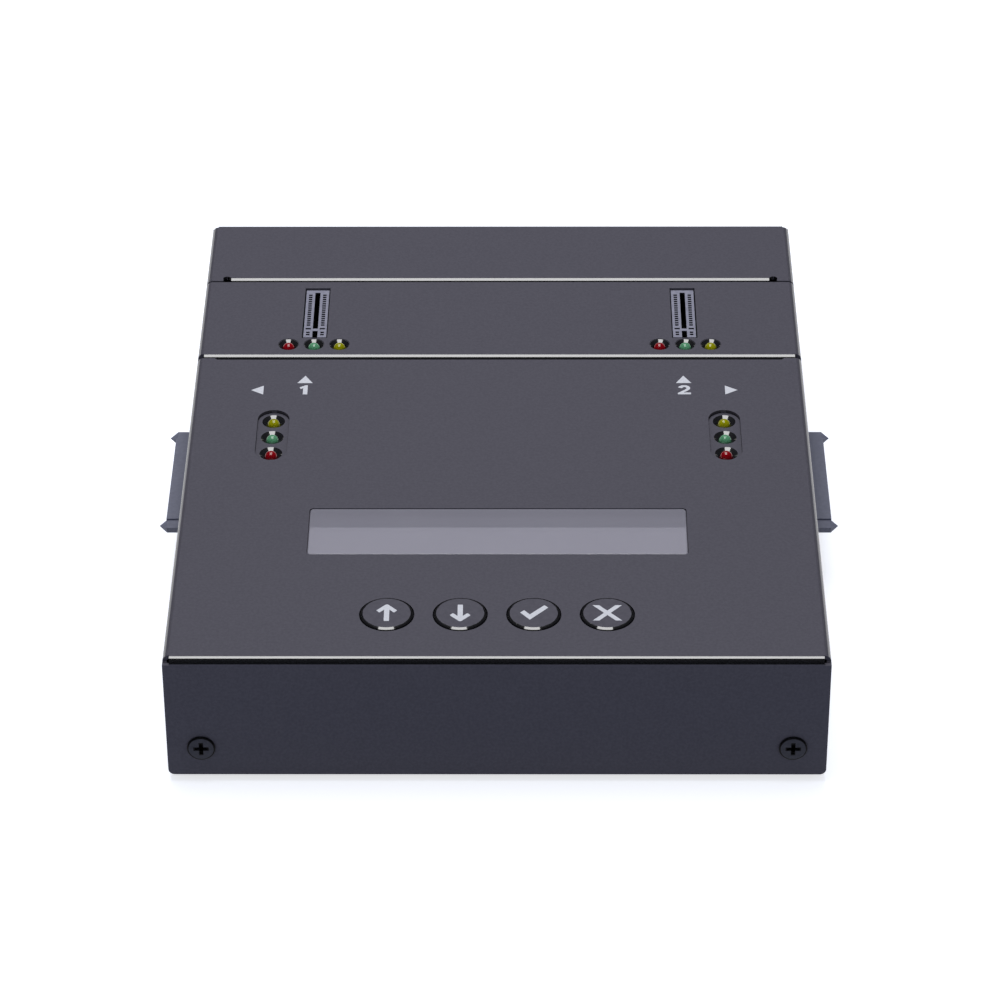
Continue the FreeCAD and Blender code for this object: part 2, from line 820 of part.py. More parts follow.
def make_base_tray():
    """The floor, with a low flange all round and four tabs for the end screws."""
    body = new_body("base_tray")
    edge_x = wall_x - s.tray_fit
    start = from_front(s.sheet + s.tray_fit)
    end = rear_y - s.sheet - s.tray_fit
    flange_z = under_z + s.flange_height
    outline = polygon(
        (-edge_x, under_z),
        (edge_x, under_z),
        (edge_x, flange_z),
        (edge_x - s.sheet, flange_z),
        (edge_x - s.sheet, floor_z),
        (-edge_x + s.sheet, floor_z),
        (-edge_x + s.sheet, flange_z),
        (-edge_x, flange_z),
    )
    add(body, "floor", "XZ", start, end, outline)
    outer = straight_edges(body.Shape, "y", x=(-edge_x, edge_x), z=(under_z,))
    fillet(body, "side_bends", s.bend_radius, outer)
    inner_x = edge_x - s.sheet
    fillet(body, "side_bends_inside", inner_bend,
           straight_edges(body.Shape, "y", x=(-inner_x, inner_x), z=(floor_z,)))

    # Corner reliefs separate the end flanges from the side flanges.
    relief = s.bend_radius * 1.5
    corners = [
        rectangle(
            *sorted_pair(side * edge_x, side * (edge_x - relief)),
            *sorted_pair(end_y, end_y + inward * relief),
        )
        for side in SIDES
        for end_y, inward in ((start, 1), (end, -1))
    ]
    cut(body, "corner_reliefs", "XY", under_z - 1, flange_z + 1, *corners)

    reach = edge_x - relief
    for name, face, inward in (("front", start, 1), ("rear", end, -1)):
        low, high = sorted_pair(face, face + s.sheet * inward)
        add(body, f"{name}_flange", "XZ", low, high, rectangle(-reach, reach, under_z, flange_z))
        tabs = [
            rectangle(*sorted_pair(side * reach, side * (face_screw_x - s.screw_tab_reach)),
                      under_z, face_screw_z + s.screw_tab_margin)
            for side in SIDES
        ]
        add(body, f"{name}_tabs", "XZ", low, high, *tabs)
        outer = straight_edges(body.Shape, "x", y=(face,), z=(under_z,))
        fillet(body, f"{name}_bend", s.bend_radius, outer)
        inner = straight_edges(body.Shape, "x", y=(face + s.sheet * inward,), z=(floor_z,))
        fillet(body, f"{name}_bend_inside", inner_bend, inner)
        face_screw_holes(body, f"{name}_threads", low - 0.5, high + 0.5, tapped)

    # The side flanges stop where the slot cover's tabs turn in under the boards.
    gap = s.side_tab_length + 4 * s.tray_fit
    notches = [centred(side * edge_x, side_tab_y, 2 * s.bend_radius, gap) for side in SIDES]
    cut(body, "tab_notches", "XY", floor_z, flange_z + 1, *notches)
    holes = [disc(side_tab_x * side, side_tab_y, clearance) for side in SIDES]
    cut(body, "tab_holes", "XY", under_z - 0.5, floor_z + 0.5, *holes)

    first = from_front(s.floor_vent_inset)
    half = (s.floor_vent_length - s.floor_vent_width) / 2
    centre = s.floor_vent_length * 0.75
    vents = [
        slot(side * centre - half, first, side * centre + half, first, s.floor_vent_width)
        for side in SIDES
    ]
    vents = cut(body, "vents", "XY", under_z - 0.5, floor_z + 0.5, *vents)
    repeat(body, vents, "Y", s.floor_vent_pitch, 8)
    return body


def sorted_pair(first, second):
    """Two places, the lower one first."""
    first, second = as_size(first), as_size(second)
    return (first, second) if first.value < second.value else (second, first)


# ---------------------------------------------------------------- screws, feet and spacers


def make_face_screws(label, face, inward):
    """Two pan-head screws through an end face into the tray."""
    body = new_body(label)
    places = [(face_screw_x * side, face_screw_z) for side in SIDES]
    head = sorted_pair(face - s.head_height * inward, face)
    shank = sorted_pair(face, face + s.screw_length * inward)
    add(body, "heads", "XZ", *head, *[disc(x, z, s.head_diameter) for x, z in places])
    rim = round_edges(body.Shape, s.head_diameter / 2, y=(face - s.head_height * inward,))
    fillet(body, "crowns", s.head_height / 3, rim)
    add(body, "shanks", "XZ", *shank, *[disc(x, z, s.thread) for x, z in places])
    crown = face - s.head_height * inward
    wide, narrow, bar = s.cross_reach, s.cross_reach * 0.7, s.cross_bar
    shallow = sorted_pair(crown, crown + s.cross_step * inward)
    deep = sorted_pair(crown, crown + s.cross_depth * inward)
    cut(body, "cross_bars", "XZ", *shallow, *[centred(x, z, wide, bar) for x, z in places])
    cut(body, "cross_posts", "XZ", *shallow, *[centred(x, z, bar, wide) for x, z in places])
    cut(body, "socket_bars", "XZ", *deep, *[centred(x, z, narrow, bar) for x, z in places])
    cut(body, "socket_posts", "XZ", *deep, *[centred(x, z, bar, narrow) for x, z in places])
    return body


def make_tray_screws():
    """Two screws up through the floor into the slot cover's tabs."""
    body = new_body("tray_screws")
    places = [(side_tab_x * side, side_tab_y) for side in SIDES]
    add(body, "heads", "XY", under_z - s.small_head_height, under_z,
        *[disc(x, y, s.small_head_diameter) for x, y in places])
    add(body, "shanks", "XY", under_z, under_z + s.small_screw_length,
        *[disc(x, y, s.thread) for x, y in places])
    return body


def make_feet():
    """Four round rubber feet."""
    body = new_body("feet")
    x = half_width - s.foot_inset
    y_front = from_front(s.foot_inset)
    y_rear = rear_y - s.foot_inset
    places = [(x * side, y) for side in SIDES for y in (y_front, y_rear)]
    add(body, "pads", "XY", 0, under_z, *[disc(px, py, s.foot_diameter) for px, py in places])
    fillet(body, "edges", s.foot_height * 0.4, round_edges(body.Shape, s.foot_diameter / 2, z=(0,)))
    return body


def make_spacers(label, places, low, high):
    """Round threaded spacers between two levels."""
    body = new_body(label)
    add(body, "barrels", "XY", low, high, *[disc(x, y, s.spacer_diameter) for x, y in places])
    cut(body, "threads", "XY", low - 0.5, high + 0.5, *[disc(x, y, tapped) for x, y in places])
    return body


def make_board_screws(label, places, seat, direction):
    """Screws whose heads sit on a board at seat and whose shanks run the way of direction."""
    body = new_body(label)
    head = sorted_pair(seat, seat - s.small_head_height * direction)
    shank = sorted_pair(seat, seat + s.small_screw_length * direction)
    add(body, "heads", "XY", *head, *[disc(x, y, s.small_head_diameter) for x, y in places])
    add(body, "shanks", "XY", *shank, *[disc(x, y, s.thread) for x, y in places])
    return body


def make_board(label, x, y1, y2, width, low, places):
    """A circuit board about x, from y1 to y2, with screw holes."""
    body = new_body(label)
    x = as_size(x)
    high = low + s.board_thickness
    add(body, "laminate", "XY", low, high, rectangle(x - width / 2, x + width / 2, y1, y2))
    cut(body, "holes", "XY", low - 0.5, high + 0.5, *[disc(px, py, clearance) for px, py in places])
    return body


# ---------------------------------------------------------------- display


def display_places():
    x = display_board_width / 2 - s.display_hole_inset
    reach = display_board_depth / 2 - s.display_hole_inset
    middle = from_front(window_middle)
    return [(x * side, middle + reach * way) for side in SIDES for way in SIDES]


def make_display_lens():
    """Clear plate: its middle fills the window, and a thin flange is glued under the cover."""
    body = new_body("display_lens")
    middle = from_front(window_middle)
    width = s.window_width + 2 * s.lens_flange
    depth = s.window_depth + 2 * s.lens_flange
    flange = centred(0, middle, width, depth)
    add(body, "flange", "XY", ceiling_z - s.lens_flange_thickness, ceiling_z, flange)
    width = s.window_width - 2 * s.lens_play
    depth = s.window_depth - 2 * s.lens_play
    add(body, "pane", "XY", ceiling_z, top_z - s.lens_recess, centred(0, middle, width, depth))
    sides, ends = (-width / 2, width / 2), (middle - depth / 2, middle + depth / 2)
    edges = straight_edges(body.Shape, "z", x=sides, y=ends)
    corner = s.window_corner - s.lens_play
    fillet(body, "pane_corners", corner, edges)
    top = top_z - s.lens_recess
    edges = straight_edges(body.Shape, "x", z=(top,)) + straight_edges(body.Shape, "y", z=(top,))
    edges += round_edges(body.Shape, corner, z=(top,))
    fillet(body, "pane_edge", s.lens_edge, edges)
    return body


def make_display():
    """Liquid-crystal module: steel frame, glass, backlight and board."""
    middle = from_front(window_middle)
    wall = s.display_frame_wall
    frame = new_body("display_frame")
    add(frame, "shell", "XY", display_board_top, display_top,
        centred(0, middle, display_frame_width, display_frame_depth))
    room_width = display_frame_width - 2 * wall
    room_depth = display_frame_depth - 2 * wall
    room = centred(0, middle, room_width, room_depth)
    cut(frame, "room", "XY", display_board_top - 0.5, display_top - wall, room)
    view_width = s.window_width - 2 * s.display_view_inset
    view_depth = s.window_depth + 2 * s.display_view_lap
    view = centred(0, middle, view_width, view_depth)
    cut(frame, "view", "XY", display_top - wall - 0.5, display_top + 0.5, view)

    glass_low = display_top - wall - s.display_glass_thickness
    glass = new_body("display_glass")
    inset = 2 * s.tray_fit
    add(glass, "pane", "XY", glass_low, display_top - wall,
        centred(0, middle, room_width - inset, room_depth - inset))
    backlight = new_body("display_backlight")
    add(backlight, "block", "XY", display_board_top, glass_low,
        centred(0, middle, room_width - inset, room_depth - inset))

    places = display_places()
    half = display_board_depth / 2
    make_board("display_board", 0, middle - half, middle + half, display_board_width, display_board_z, places)
    make_spacers("display_spacers", places, display_board_top, ceiling_z)
    make_board_screws("display_screws", places, display_board_z, 1)


def make_display_ribbon():
    """Flat cable from under the display board down to the main board."""
    body = new_body("display_ribbon")
    start = from_front(window_middle) + display_board_depth / 2 - 2 * s.ribbon_drop / 3
    end = start + s.ribbon_run
    shelf = display_board_z - s.ribbon_drop
    thick = s.ribbon_thickness
    outline = polygon(
        (start, display_board_z),
        (start, shelf),
        (end, shelf),
        (end, main_board_top),
        (end + thick, main_board_top),
        (end + thick, shelf + thick),
        (start + thick, shelf + thick),
        (start + thick, display_board_z),
    )
    add(body, "strip", "YZ", -s.ribbon_width / 2, s.ribbon_width / 2, outline)
    outer = straight_edges(body.Shape, "x", y=(start,), z=(shelf,))
    outer += straight_edges(body.Shape, "x", y=(end + thick,), z=(shelf + thick,))
    fillet(body, "outer_folds", thick * 1.8, outer)
    inner = straight_edges(body.Shape, "x", y=(start + thick,), z=(shelf + thick,))
    inner += straight_edges(body.Shape, "x", y=(end,), z=(shelf,))
    fillet(body, "inner_folds", thick * 0.8, inner)
    return body


# ---------------------------------------------------------------- buttons


def key_places():
    return [(key_screw_x * side, from_front(s.button_from_front)) for side in SIDES]


def make_button(index):
    """A flanged cap that is trapped under the cover, with a stem down to its switch."""
    body = new_body("button_" + BUTTON_NAMES[index])
    x = button_x(index)
    y = from_front(s.button_from_front)
    flange_top = ceiling_z - s.button_stop_gap
    flange_low = flange_top - s.button_flange_thickness
    plunger_top = key_board_top + s.switch_height + s.plunger_proud
    cap_top = top_z + s.button_proud
    add(body, "cap", "XY", flange_top, cap_top, disc(x, y, s.button_diameter))
    fillet(body, "edge", s.button_edge, round_edges(body.Shape, s.button_diameter / 2, z=(cap_top,)))
    add(body, "flange", "XY", flange_low, flange_top, disc(x, y, s.button_diameter + 2 * s.button_flange))
    add(body, "stem", "XY", plunger_top, flange_low, disc(x, y, s.button_stem_diameter))
    return body


def make_plunger(index):
    """The moving core of a button's switch."""
    body = new_body("plunger_" + BUTTON_NAMES[index])
    top = key_board_top + s.switch_height
    core = disc(button_x(index), from_front(s.button_from_front), s.plunger_diameter)
    add(body, "core", "XY", top - s.plunger_engaged, top + s.plunger_proud, core)
    return body


def make_key_board():
    """Small board with the four switches, hung from the cover on two spacers."""
    y = from_front(s.button_from_front)
    places = key_places()
    half = s.key_board_depth / 2
    make_board("key_board", 0, y - half, y + half, 2 * (key_screw_x + s.key_hole_inset), key_board_z, places)
    make_spacers("key_spacers", places, key_board_top, ceiling_z)
    make_board_screws("key_screws", places, key_board_z, 1)
    switches = new_body("key_switches")
    centres = [(button_x(i), y) for i in range(len(BUTTON_NAMES))]
    top = key_board_top + s.switch_height
    add(switches, "cases", "XY", key_board_top, top,
        *[centred(x, cy, s.switch_side, s.switch_side) for x, cy in centres])
    bore = s.plunger_diameter + 2 * s.plunger_play
    well = s.plunger_engaged + s.button_travel + 0.3
    cut(switches, "wells", "XY", top - well, top + 0.5, *[disc(x, cy, bore) for x, cy in centres])


# ---------------------------------------------------------------- boards


def main_board_places():
    front = from_front(main_board_front + s.board_screw_inset)
    rear = from_front(main_board_rear - s.board_screw_inset)
    return [(board_screw_x * side, y) for side in SIDES for y in (front, front + (rear - front) / 3, rear)]


def slot_board_places():
    front = from_front(slot_cover_front + s.slot_board_front_gap + s.board_screw_inset)
    rear = from_front(slot_cover_rear - s.slot_board_rear_gap - s.board_screw_inset)
    return [(slot_screw_x * side, y) for side in SIDES for y in (front, rear)]


def make_boards():
    """Main board on the tray, and the slot board above it."""
    places = main_board_places()
    width = s.case_width - 2 * s.main_board_side_gap
    make_board("main_board", 0, from_front(main_board_front), from_front(main_board_rear),
               width, main_board_z, places)
    notch_x = face_screw_x - 2 * s.thread
    notch_y = rear_y - s.screw_length - s.panel_gap * 4
    notches = [
        rectangle(*sorted_pair(notch_x * side, half_width * side), notch_y, rear_y)
        for side in SIDES
    ]
    board = doc.getObject("main_board")
    cut(board, "screw_notches", "XY", main_board_z - 0.5, main_board_top + 0.5, *notches)
    make_spacers("board_standoffs", places, floor_z, main_board_z)
    make_board_screws("board_screws", places, main_board_top, -1)

    places = slot_board_places()
    start = from_front(slot_cover_front + s.slot_board_front_gap)
    end = from_front(slot_cover_rear - s.slot_board_rear_gap)
    width = 2 * (slot_screw_x + s.board_screw_inset)
    make_board("slot_board", 0, start, end, width, slot_board_z, places)
    make_spacers("slot_standoffs", places, main_board_top, slot_board_z)
    make_board_screws("slot_board_screws", places, slot_board_top, -1)

    link = new_body("board_link")
    middle = (start + end) / 2
    add(link, "header", "XY", main_board_top, slot_board_z, centred(0, middle, s.link_width, s.link_depth))


def make_board_parts():
    """Controller with its heat sink, smoothing capacitors and buzzer."""
    chip = new_body("controller_chip")
    y = from_front(main_board_front + s.chip_inset)
    chip_top = main_board_top + s.chip_height
    add(chip, "package", "XY", main_board_top, chip_top, centred(0, y, s.chip_side, s.chip_side))

    sink = new_body("heat_sink")
    sink_top = chip_top + s.sink_height
    base_top = chip_top + s.sink_base
    add(sink, "base", "XY", chip_top, base_top, centred(0, y, s.chip_side, s.chip_side))
    half = s.chip_side / 2
    first = rectangle(-half, -half + s.fin_thickness, y - half, y + half)
    fin = add(sink, "fin", "XY", base_top, sink_top, first)
    repeat(sink, fin, "X", (s.chip_side - s.fin_thickness) / 6, 7)

    cans = new_body("capacitors")
    row_y = from_front(main_board_rear) - s.jack_length - s.capacitor_diameter
    spots = [(s.capacitor_diameter * 1.4 * (i - 1), row_y) for i in range(3)]
    add(cans, "cans", "XY", main_board_top, main_board_top + s.capacitor_height,
        *[disc(x, cy, s.capacitor_diameter) for x, cy in spots])

    buzzer = new_body("buzzer")
    spot = (s.chip_side * 1.3, from_front(main_board_front + s.chip_inset))
    top = main_board_top + s.buzzer_height
    add(buzzer, "drum", "XY", main_board_top, top, disc(*spot, s.buzzer_diameter))
    cut(buzzer, "sound_hole", "XY", top - 2, top + 0.5, disc(*spot, s.buzzer_diameter / 5))


# ---------------------------------------------------------------- card slots


def make_card_slot(label, side):
    """Edge connector that stands on the slot board under its window."""
    body = new_body(label)
    x = card_slot_x * side
    front = from_front(card_window_front + s.card_slot_front_gap)
    rear = front + s.card_slot_length
    top = slot_board_top + s.card_slot_height
    half = s.card_slot_width / 2
    add(body, "housing", "XY", slot_board_top, top, rectangle(x - half, x + half, front, rear))
    key_front = front + s.card_key_from_front
    gap = s.card_gap / 2
    end_wall = s.contact_pitch * 1.1
    cut(body, "long_gap", "XY", top - s.card_gap_depth, top + 0.5,
        rectangle(x - gap, x + gap, key_front + s.card_key_width, rear - end_wall))
    cut(body, "short_gap", "XY", top - s.card_gap_depth, top + 0.5,
        rectangle(x - gap, x + gap, front - 0.5, key_front))

    row = s.contact_row
    window = (s.contact_window_width, s.contact_window)
    depth = (top - s.contact_depth, top + 0.5)
    short_row, long_row = contact_rows(front)
    pair = [centred(x + row * way, short_row, *window) for way in SIDES]
    short = cut(body, "front_windows", "XY", *depth, *pair)
    repeat(body, short, "Y", s.contact_pitch, SHORT_COUNT)
    key_y = long_row - s.contact_pitch * 1.7
    keyed = [centred(x + row * way, key_y, s.contact_window_width * 1.5, s.contact_window) for way in SIDES]
    cut(body, "key_windows", "XY", *depth, *keyed)
    pair = [centred(x + row * way, long_row, *window) for way in SIDES]
    long = cut(body, "windows", "XY", *depth, *pair)
    repeat(body, long, "Y", s.contact_pitch, LONG_COUNT)
    return body


def contact_rows(front):
    """The Y of the first short and the first long window, on a socket that starts at front."""
    short_row = front + s.contact_pitch * 1.3
    return short_row, short_row + s.contact_pitch * 4.4


def make_card_contacts():
    """Spring blades that stand in the windows of both card slots."""
    body = new_body("card_contacts")
    front = from_front(card_window_front + s.card_slot_front_gap)
    top = slot_board_top + s.card_slot_height
    low = top - s.contact_depth
    tip = top - s.contact_depth / 2
    blade = (s.contact_window_width / 3, s.contact_window * 0.6)
    spots = [card_slot_x * side + s.contact_row * way for side in SIDES for way in SIDES]
    short_row, long_row = contact_rows(front)
    long = add(body, "blades", "XY", low, tip, *[centred(x, long_row, *blade) for x in spots])
    repeat(body, long, "Y", s.contact_pitch, LONG_COUNT)
    short = add(body, "front_blades", "XY", low, tip, *[centred(x, short_row, *blade) for x in spots])
    repeat(body, short, "Y", s.contact_pitch, SHORT_COUNT)
    return body


# ---------------------------------------------------------------- drive sockets


def blade_spans():
    """Start and end, measured along the socket, of the signal and power openings."""
    signal_end = s.drive_end_wall + s.signal_length
    power_start = signal_end + s.drive_middle_wall
    return (s.drive_end_wall, signal_end), (power_start, power_start + s.power_length)


def make_drive_socket(label, side):
    """Data and power socket: a root on the board, a thinner nose out through the wall, two guides."""
    body = new_body(label)
    middle = from_front(drive_middle)
    start = middle - drive_length / 2 + s.ear_length
    end = middle + drive_length / 2 - s.ear_length
    face = half_width + s.drive_proud
    inside = half_width - s.drive_inside
    root_face = wall_x - s.drive_root_gap
    root = sorted_pair(inside * side, root_face * side)
    nose = sorted_pair(root_face * side, face * side)
    add(body, "root", "YZ", *root, rectangle(start, end, main_board_top, drive_top))
    add(body, "nose", "YZ", *nose, rectangle(start, end, drive_top - s.drive_nose_height, drive_top))

    # Each guide runs along one end of the socket and narrows to a point in front of it.
    guide_top = drive_top - s.ear_drop
    guide_low = guide_top - s.ear_height
    lead_x = (face - s.ear_lead) * side
    tip_x = (face + s.ear_tip) * side
    guides = []
    for end_y, way in ((start, -1), (end, 1)):
        outer = end_y + s.ear_length * way
        guides.append(polygon(
            (inside * side, end_y - s.drive_end_wall / 2 * way),
            (face * side, end_y - s.drive_end_wall / 2 * way),
            (face * side, end_y),
            (tip_x, end_y + s.ear_length * 0.45 * way),
            (lead_x, outer),
            (inside * side, outer),
        ))
    add(body, "guides", "XY", guide_low, guide_top, *guides)
    point = (tip_x, (guide_low + guide_top) / 2)
    over = (face + 2 * s.ear_tip) * side
    beyond = (over, point[1])
    roof, ground = guide_top + 0.5, guide_low - 0.5
    above = polygon((lead_x, guide_top), point, beyond, (over, roof), (lead_x, roof))
    below = polygon((lead_x, guide_low), point, beyond, (over, ground), (lead_x, ground))
    for name, end_y, way in (("front", start, -1), ("rear", end, 1)):
        reach = sorted_pair(end_y, end_y + (s.ear_length + 0.5) * way)
        cut(body, f"{name}_lead_above", "XZ", *reach, above)
        cut(body, f"{name}_lead_below", "XZ", *reach, below)

    blade_low = drive_axis_z - s.blade_gap / 2
    blade_high = drive_axis_z + s.blade_gap / 2
    shelf = blade_high - s.blade_gap / 2.4
    depth = sorted_pair((face - s.blade_depth) * side, (face + 0.5) * side)
    for name, (first, last) in zip(("signal", "power"), blade_spans()):
        opening = polygon(
            (start + first, blade_low),
            (start + last, blade_low),
            (start + last, blade_high),
            (start + last - s.key_leg, blade_high),
            (start + last - s.key_leg, shelf),
            (start + first, shelf),
        )
        cut(body, name, "YZ", *depth, opening)
    return body


def make_drive_contacts(label, side):
    """Contacts on the floor of both blade openings."""
    body = new_body(label)
    start = from_front(drive_middle) - drive_length / 2 + s.ear_length
    face = half_width + s.drive_proud
    low = drive_axis_z - s.blade_gap / 2
    high = low + s.drive_contact_thickness
    span = sorted_pair((face - s.blade_depth) * side, (face - s.blade_wall) * side)
    for (name, count), (first, last) in zip((("signal", 7), ("power", 15)), blade_spans()):
        margin = (last - first - s.drive_contact_pitch * (count - 1)) / 2
        place = start + first + margin
        width = s.drive_contact_width
        blade = add(body, name, "YZ", *span, rectangle(place - width / 2, place + width / 2, low, high))
        repeat(body, blade, "Y", s.drive_contact_pitch, count)
    return body


# ---------------------------------------------------------------- lamps


def make_status_wells():
    """Two stadium inserts, each with three conical wells, glued under the front cover."""
    body = new_body("status_wells")
    columns = [status_x * side for side in SIDES]
    width = s.status_insert_width
    wide = width + 2 * s.well_flange
    high = top_z - s.status_recess
    low = ceiling_z - s.well_body_depth
    flange_low = ceiling_z - s.well_flange
    inserts = [slot(x, status_y(0), x, status_y(2), width) for x in columns]
    flanges = [slot(x, status_y(0), x, status_y(2), wide) for x in columns]
    add(body, "bodies", "XY", low, flange_low, *inserts)
    add(body, "flanges", "XY", flange_low, ceiling_z, *flanges)
    add(body, "faces", "XY", ceiling_z, high, *inserts)
    bore = lamp_bore
    spots = [(x, status_y(i)) for x in columns for i in range(len(LAMP_COLOURS))]
    cut(body, "bores", "XY", low - 0.5, high + 0.5, *[disc(x, y, bore) for x, y in spots])
    countersink(body, "cones", spots, bore, s.well_cone, s.well_cone_depth, high)
    return body


def make_slot_wells():
    """Two blocks under the slot cover whose collars line its lamp holes."""
    body = new_body("slot_wells")
    y = from_front(slot_lamp_middle)
    low = ceiling_z - s.well_body_depth
    high = top_z - s.collar_recess
    collar = slot_lamp_collar
    length = 2 * s.slot_lamp_pitch
    blocks = []
    for side in SIDES:
        x = card_slot_x * side
        blocks.append(slot(x - length / 2, y, x + length / 2, y, collar))
    add(body, "blocks", "XY", low, ceiling_z, *blocks)
    spots = [(slot_lamp_x(side, i), y) for side in SIDES for i in range(len(LAMP_COLOURS))]
    add(body, "collars", "XY", ceiling_z, high, *[disc(x, y, collar) for x, y in spots])
    bore = lamp_bore
    cut(body, "bores", "XY", low - 0.5, high + 0.5, *[disc(x, y, bore) for x, y in spots])
    countersink(body, "cones", spots, bore, s.slot_well_cone, s.slot_well_cone_depth, high)
    return body


def make_lamps(label, spots, top, board):
    """Round-nosed lamps with a rim at the base and two leads down to their board."""
    body = new_body(label)
    base = top - s.lamp_height
    add(body, "domes", "XY", base, top, *[disc(x, y, s.lamp_diameter) for x, y in spots])
    crown = round_edges(body.Shape, s.lamp_diameter / 2, z=(top,))
    fillet(body, "noses", s.lamp_diameter * 0.47, crown)
    rim = s.lamp_diameter + 2 * s.lamp_rim
    add(body, "rims", "XY", base, base + s.lamp_rim * 2, *[disc(x, y, rim) for x, y in spots])
    lead = s.lamp_lead
    leads = [centred(x + lead * 1.2 * way, y, lead, lead) for x, y in spots for way in SIDES]
    add(body, "leads", "XY", board, base, *leads)
    return body


def make_lamp_spacers(label, spots, board, base):
    """Tubes that hold the lamps up at the level of the cover."""
    body = new_body(label)
    add(body, "tubes", "XY", board, base, *[disc(x, y, lamp_spacer_diameter) for x, y in spots])
    bore = s.lamp_lead * 5
    cut(body, "bores", "XY", board - 0.5, base + 0.5, *[disc(x, y, bore) for x, y in spots])
    return body


def make_all_lamps():
    status_top = top_z - s.status_recess + s.status_lamp_proud
    slot_top = top_z + s.slot_lamp_proud
    slot_y = from_front(slot_lamp_middle)
    status, slots = [], []
    for index, colour in enumerate(LAMP_COLOURS):
        spots = [(status_x * side, status_y(index)) for side in SIDES]
        make_lamps(f"status_lamps_{colour}", spots, status_top, main_board_top)
        status += spots
        spots = [(slot_lamp_x(side, index), slot_y) for side in SIDES]
        make_lamps(f"slot_lamps_{colour}", spots, slot_top, slot_board_top)
        slots += spots
    make_lamp_spacers("status_lamp_spacers", status, main_board_top, status_top - s.lamp_height)
    make_lamp_spacers("slot_lamp_spacers", slots, slot_board_top, slot_top - s.lamp_height)


# ---------------------------------------------------------------- power inlet and switch


def make_power_jack():
    """Barrel inlet on the back edge of the main board, and its centre pin."""
    back = rear_y - s.sheet - s.panel_gap
    body = new_body("power_jack")
    reach = s.jack_bore / 2 + s.jack_wall
    block = rectangle(jack_x - reach, jack_x + reach, main_board_top, rear_axis_z + reach)
    add(body, "block", "XZ", back - s.jack_length, back, block)
    mouth = disc(jack_x, rear_axis_z, s.jack_bore)
    cut(body, "mouth", "XZ", back - s.jack_bore_depth, back + 0.5, mouth)
    socket = disc(jack_x, rear_axis_z, s.jack_pin_diameter)
    cut(body, "pin_seat", "XZ", back - s.jack_bore_depth - 1, back - s.jack_bore_depth + 0.1, socket)

    pin = new_body("power_pin")
    shape = disc(jack_x, rear_axis_z, s.jack_pin_diameter)
    tip = back - s.jack_pin_recess
    add(pin, "pin", "XZ", back - s.jack_bore_depth - 1, tip, shape)
    fillet(pin, "nose", s.jack_pin_diameter * 0.3, round_edges(pin.Shape, s.jack_pin_diameter / 2, y=(tip,)))


def make_power_switch():
    """Snap-in frame and body of the rocker, with two terminals down to the main board."""
    body = new_body("power_switch")
    x = rocker_x
    width = s.rocker_opening_width - 2 * s.tray_fit
    height = s.rocker_opening_height - 2 * s.tray_fit
    lap = 2 * s.rocker_frame_lap
    wall = 2 * s.rocker_wall
    back = rear_y - s.rocker_body_depth
    face = rear_y + s.rocker_frame_proud
    add(body, "body", "XZ", back, rear_y, centred(x, rear_axis_z, width, height))
    add(body, "frame", "XZ", rear_y, face, centred(x, rear_axis_z, width + lap, height + lap))
    outer = straight_edges(
        body.Shape, "y",
        x=(x - (width + lap) / 2, x + (width + lap) / 2),
        z=(rear_axis_z - (height + lap) / 2, rear_axis_z + (height + lap) / 2),
    )
    fillet(body, "frame_corners", s.rocker_frame_lap, outer)
    cut(body, "room", "XZ", back + wall, face + 0.5, centred(x, rear_axis_z, width - wall, height - wall))
    journal = disc(x, rear_y - s.rocker_hinge_depth, s.rocker_pin_diameter + 2 * s.rocker_pin_play)
    inset = (height - wall) / 2 + s.rocker_wall * 0.6
    cut(body, "journals", "XY", rear_axis_z - inset, rear_axis_z + inset, journal)
    legs = [centred(x + width / 4 * way, back - 0.4, 2, 0.8) for way in SIDES]
    add(body, "terminals", "XY", main_board_top, rear_axis_z, *legs)
    return body


def make_power_rocker():
    """Rocker cap, drawn square about its hinge and then tipped to the off side."""
    body = new_body("power_rocker")
    reach = rocker_reach
    top = rocker_top
    keel = s.rocker_hinge_depth
    half_height = s.rocker_opening_height / 2 - s.tray_fit - s.rocker_wall - s.rocker_side_play
    outline = polygon(
        (-reach, top),
        (-reach, keel * 0.6),
        (-reach / 3, -keel * 1.6),
        (reach / 3, -keel * 1.6),
        (reach, keel * 0.6),
        (reach, top),
        (0, top - s.rocker_crown / 3),
    )
    add(body, "cap", "XY", -half_height, half_height, outline)
    pin_reach = half_height + s.rocker_side_play + s.rocker_wall * 0.5
    add(body, "pins", "XY", -pin_reach, pin_reach, disc(0, 0, s.rocker_pin_diameter))
    bind(body, "Placement.Base.x", rocker_x)
    bind(body, "Placement.Base.y", rear_y - s.rocker_hinge_depth)
    bind(body, "Placement.Base.z", rear_axis_z)
    body.Placement.Rotation = FreeCAD.Rotation(VECTOR(0, 0, 1), s.rocker_tilt.value)
    body.setExpression("Placement.Rotation.Angle", f"{s.rocker_tilt.formula} * 1deg")
    doc.recompute()
    return body


# ---------------------------------------------------------------- assembly


def build():
    make_base_tray()
    make_front_cover()
    make_slot_cover()
    make_rear_cover()
    make_face_screws("front_screws", front_y, 1)
    make_face_screws("rear_screws", rear_y, -1)
    make_tray_screws()
    make_feet()
    make_display_lens()
    make_display()
    make_display_ribbon()
    for index in range(len(BUTTON_NAMES)):
        make_button(index)
        make_plunger(index)
    make_key_board()
    make_boards()
    make_board_parts()
    make_card_slot("card_slot_left", -1)
    make_card_slot("card_slot_right", 1)
    make_card_contacts()
    make_drive_socket("drive_socket_left", -1)
    make_drive_socket("drive_socket_right", 1)
    make_drive_contacts("drive_contacts_left", -1)
    make_drive_contacts("drive_contacts_right", 1)
    make_status_wells()
    make_slot_wells()
    make_all_lamps()
    make_power_jack()
    make_power_switch()
    make_power_rocker()


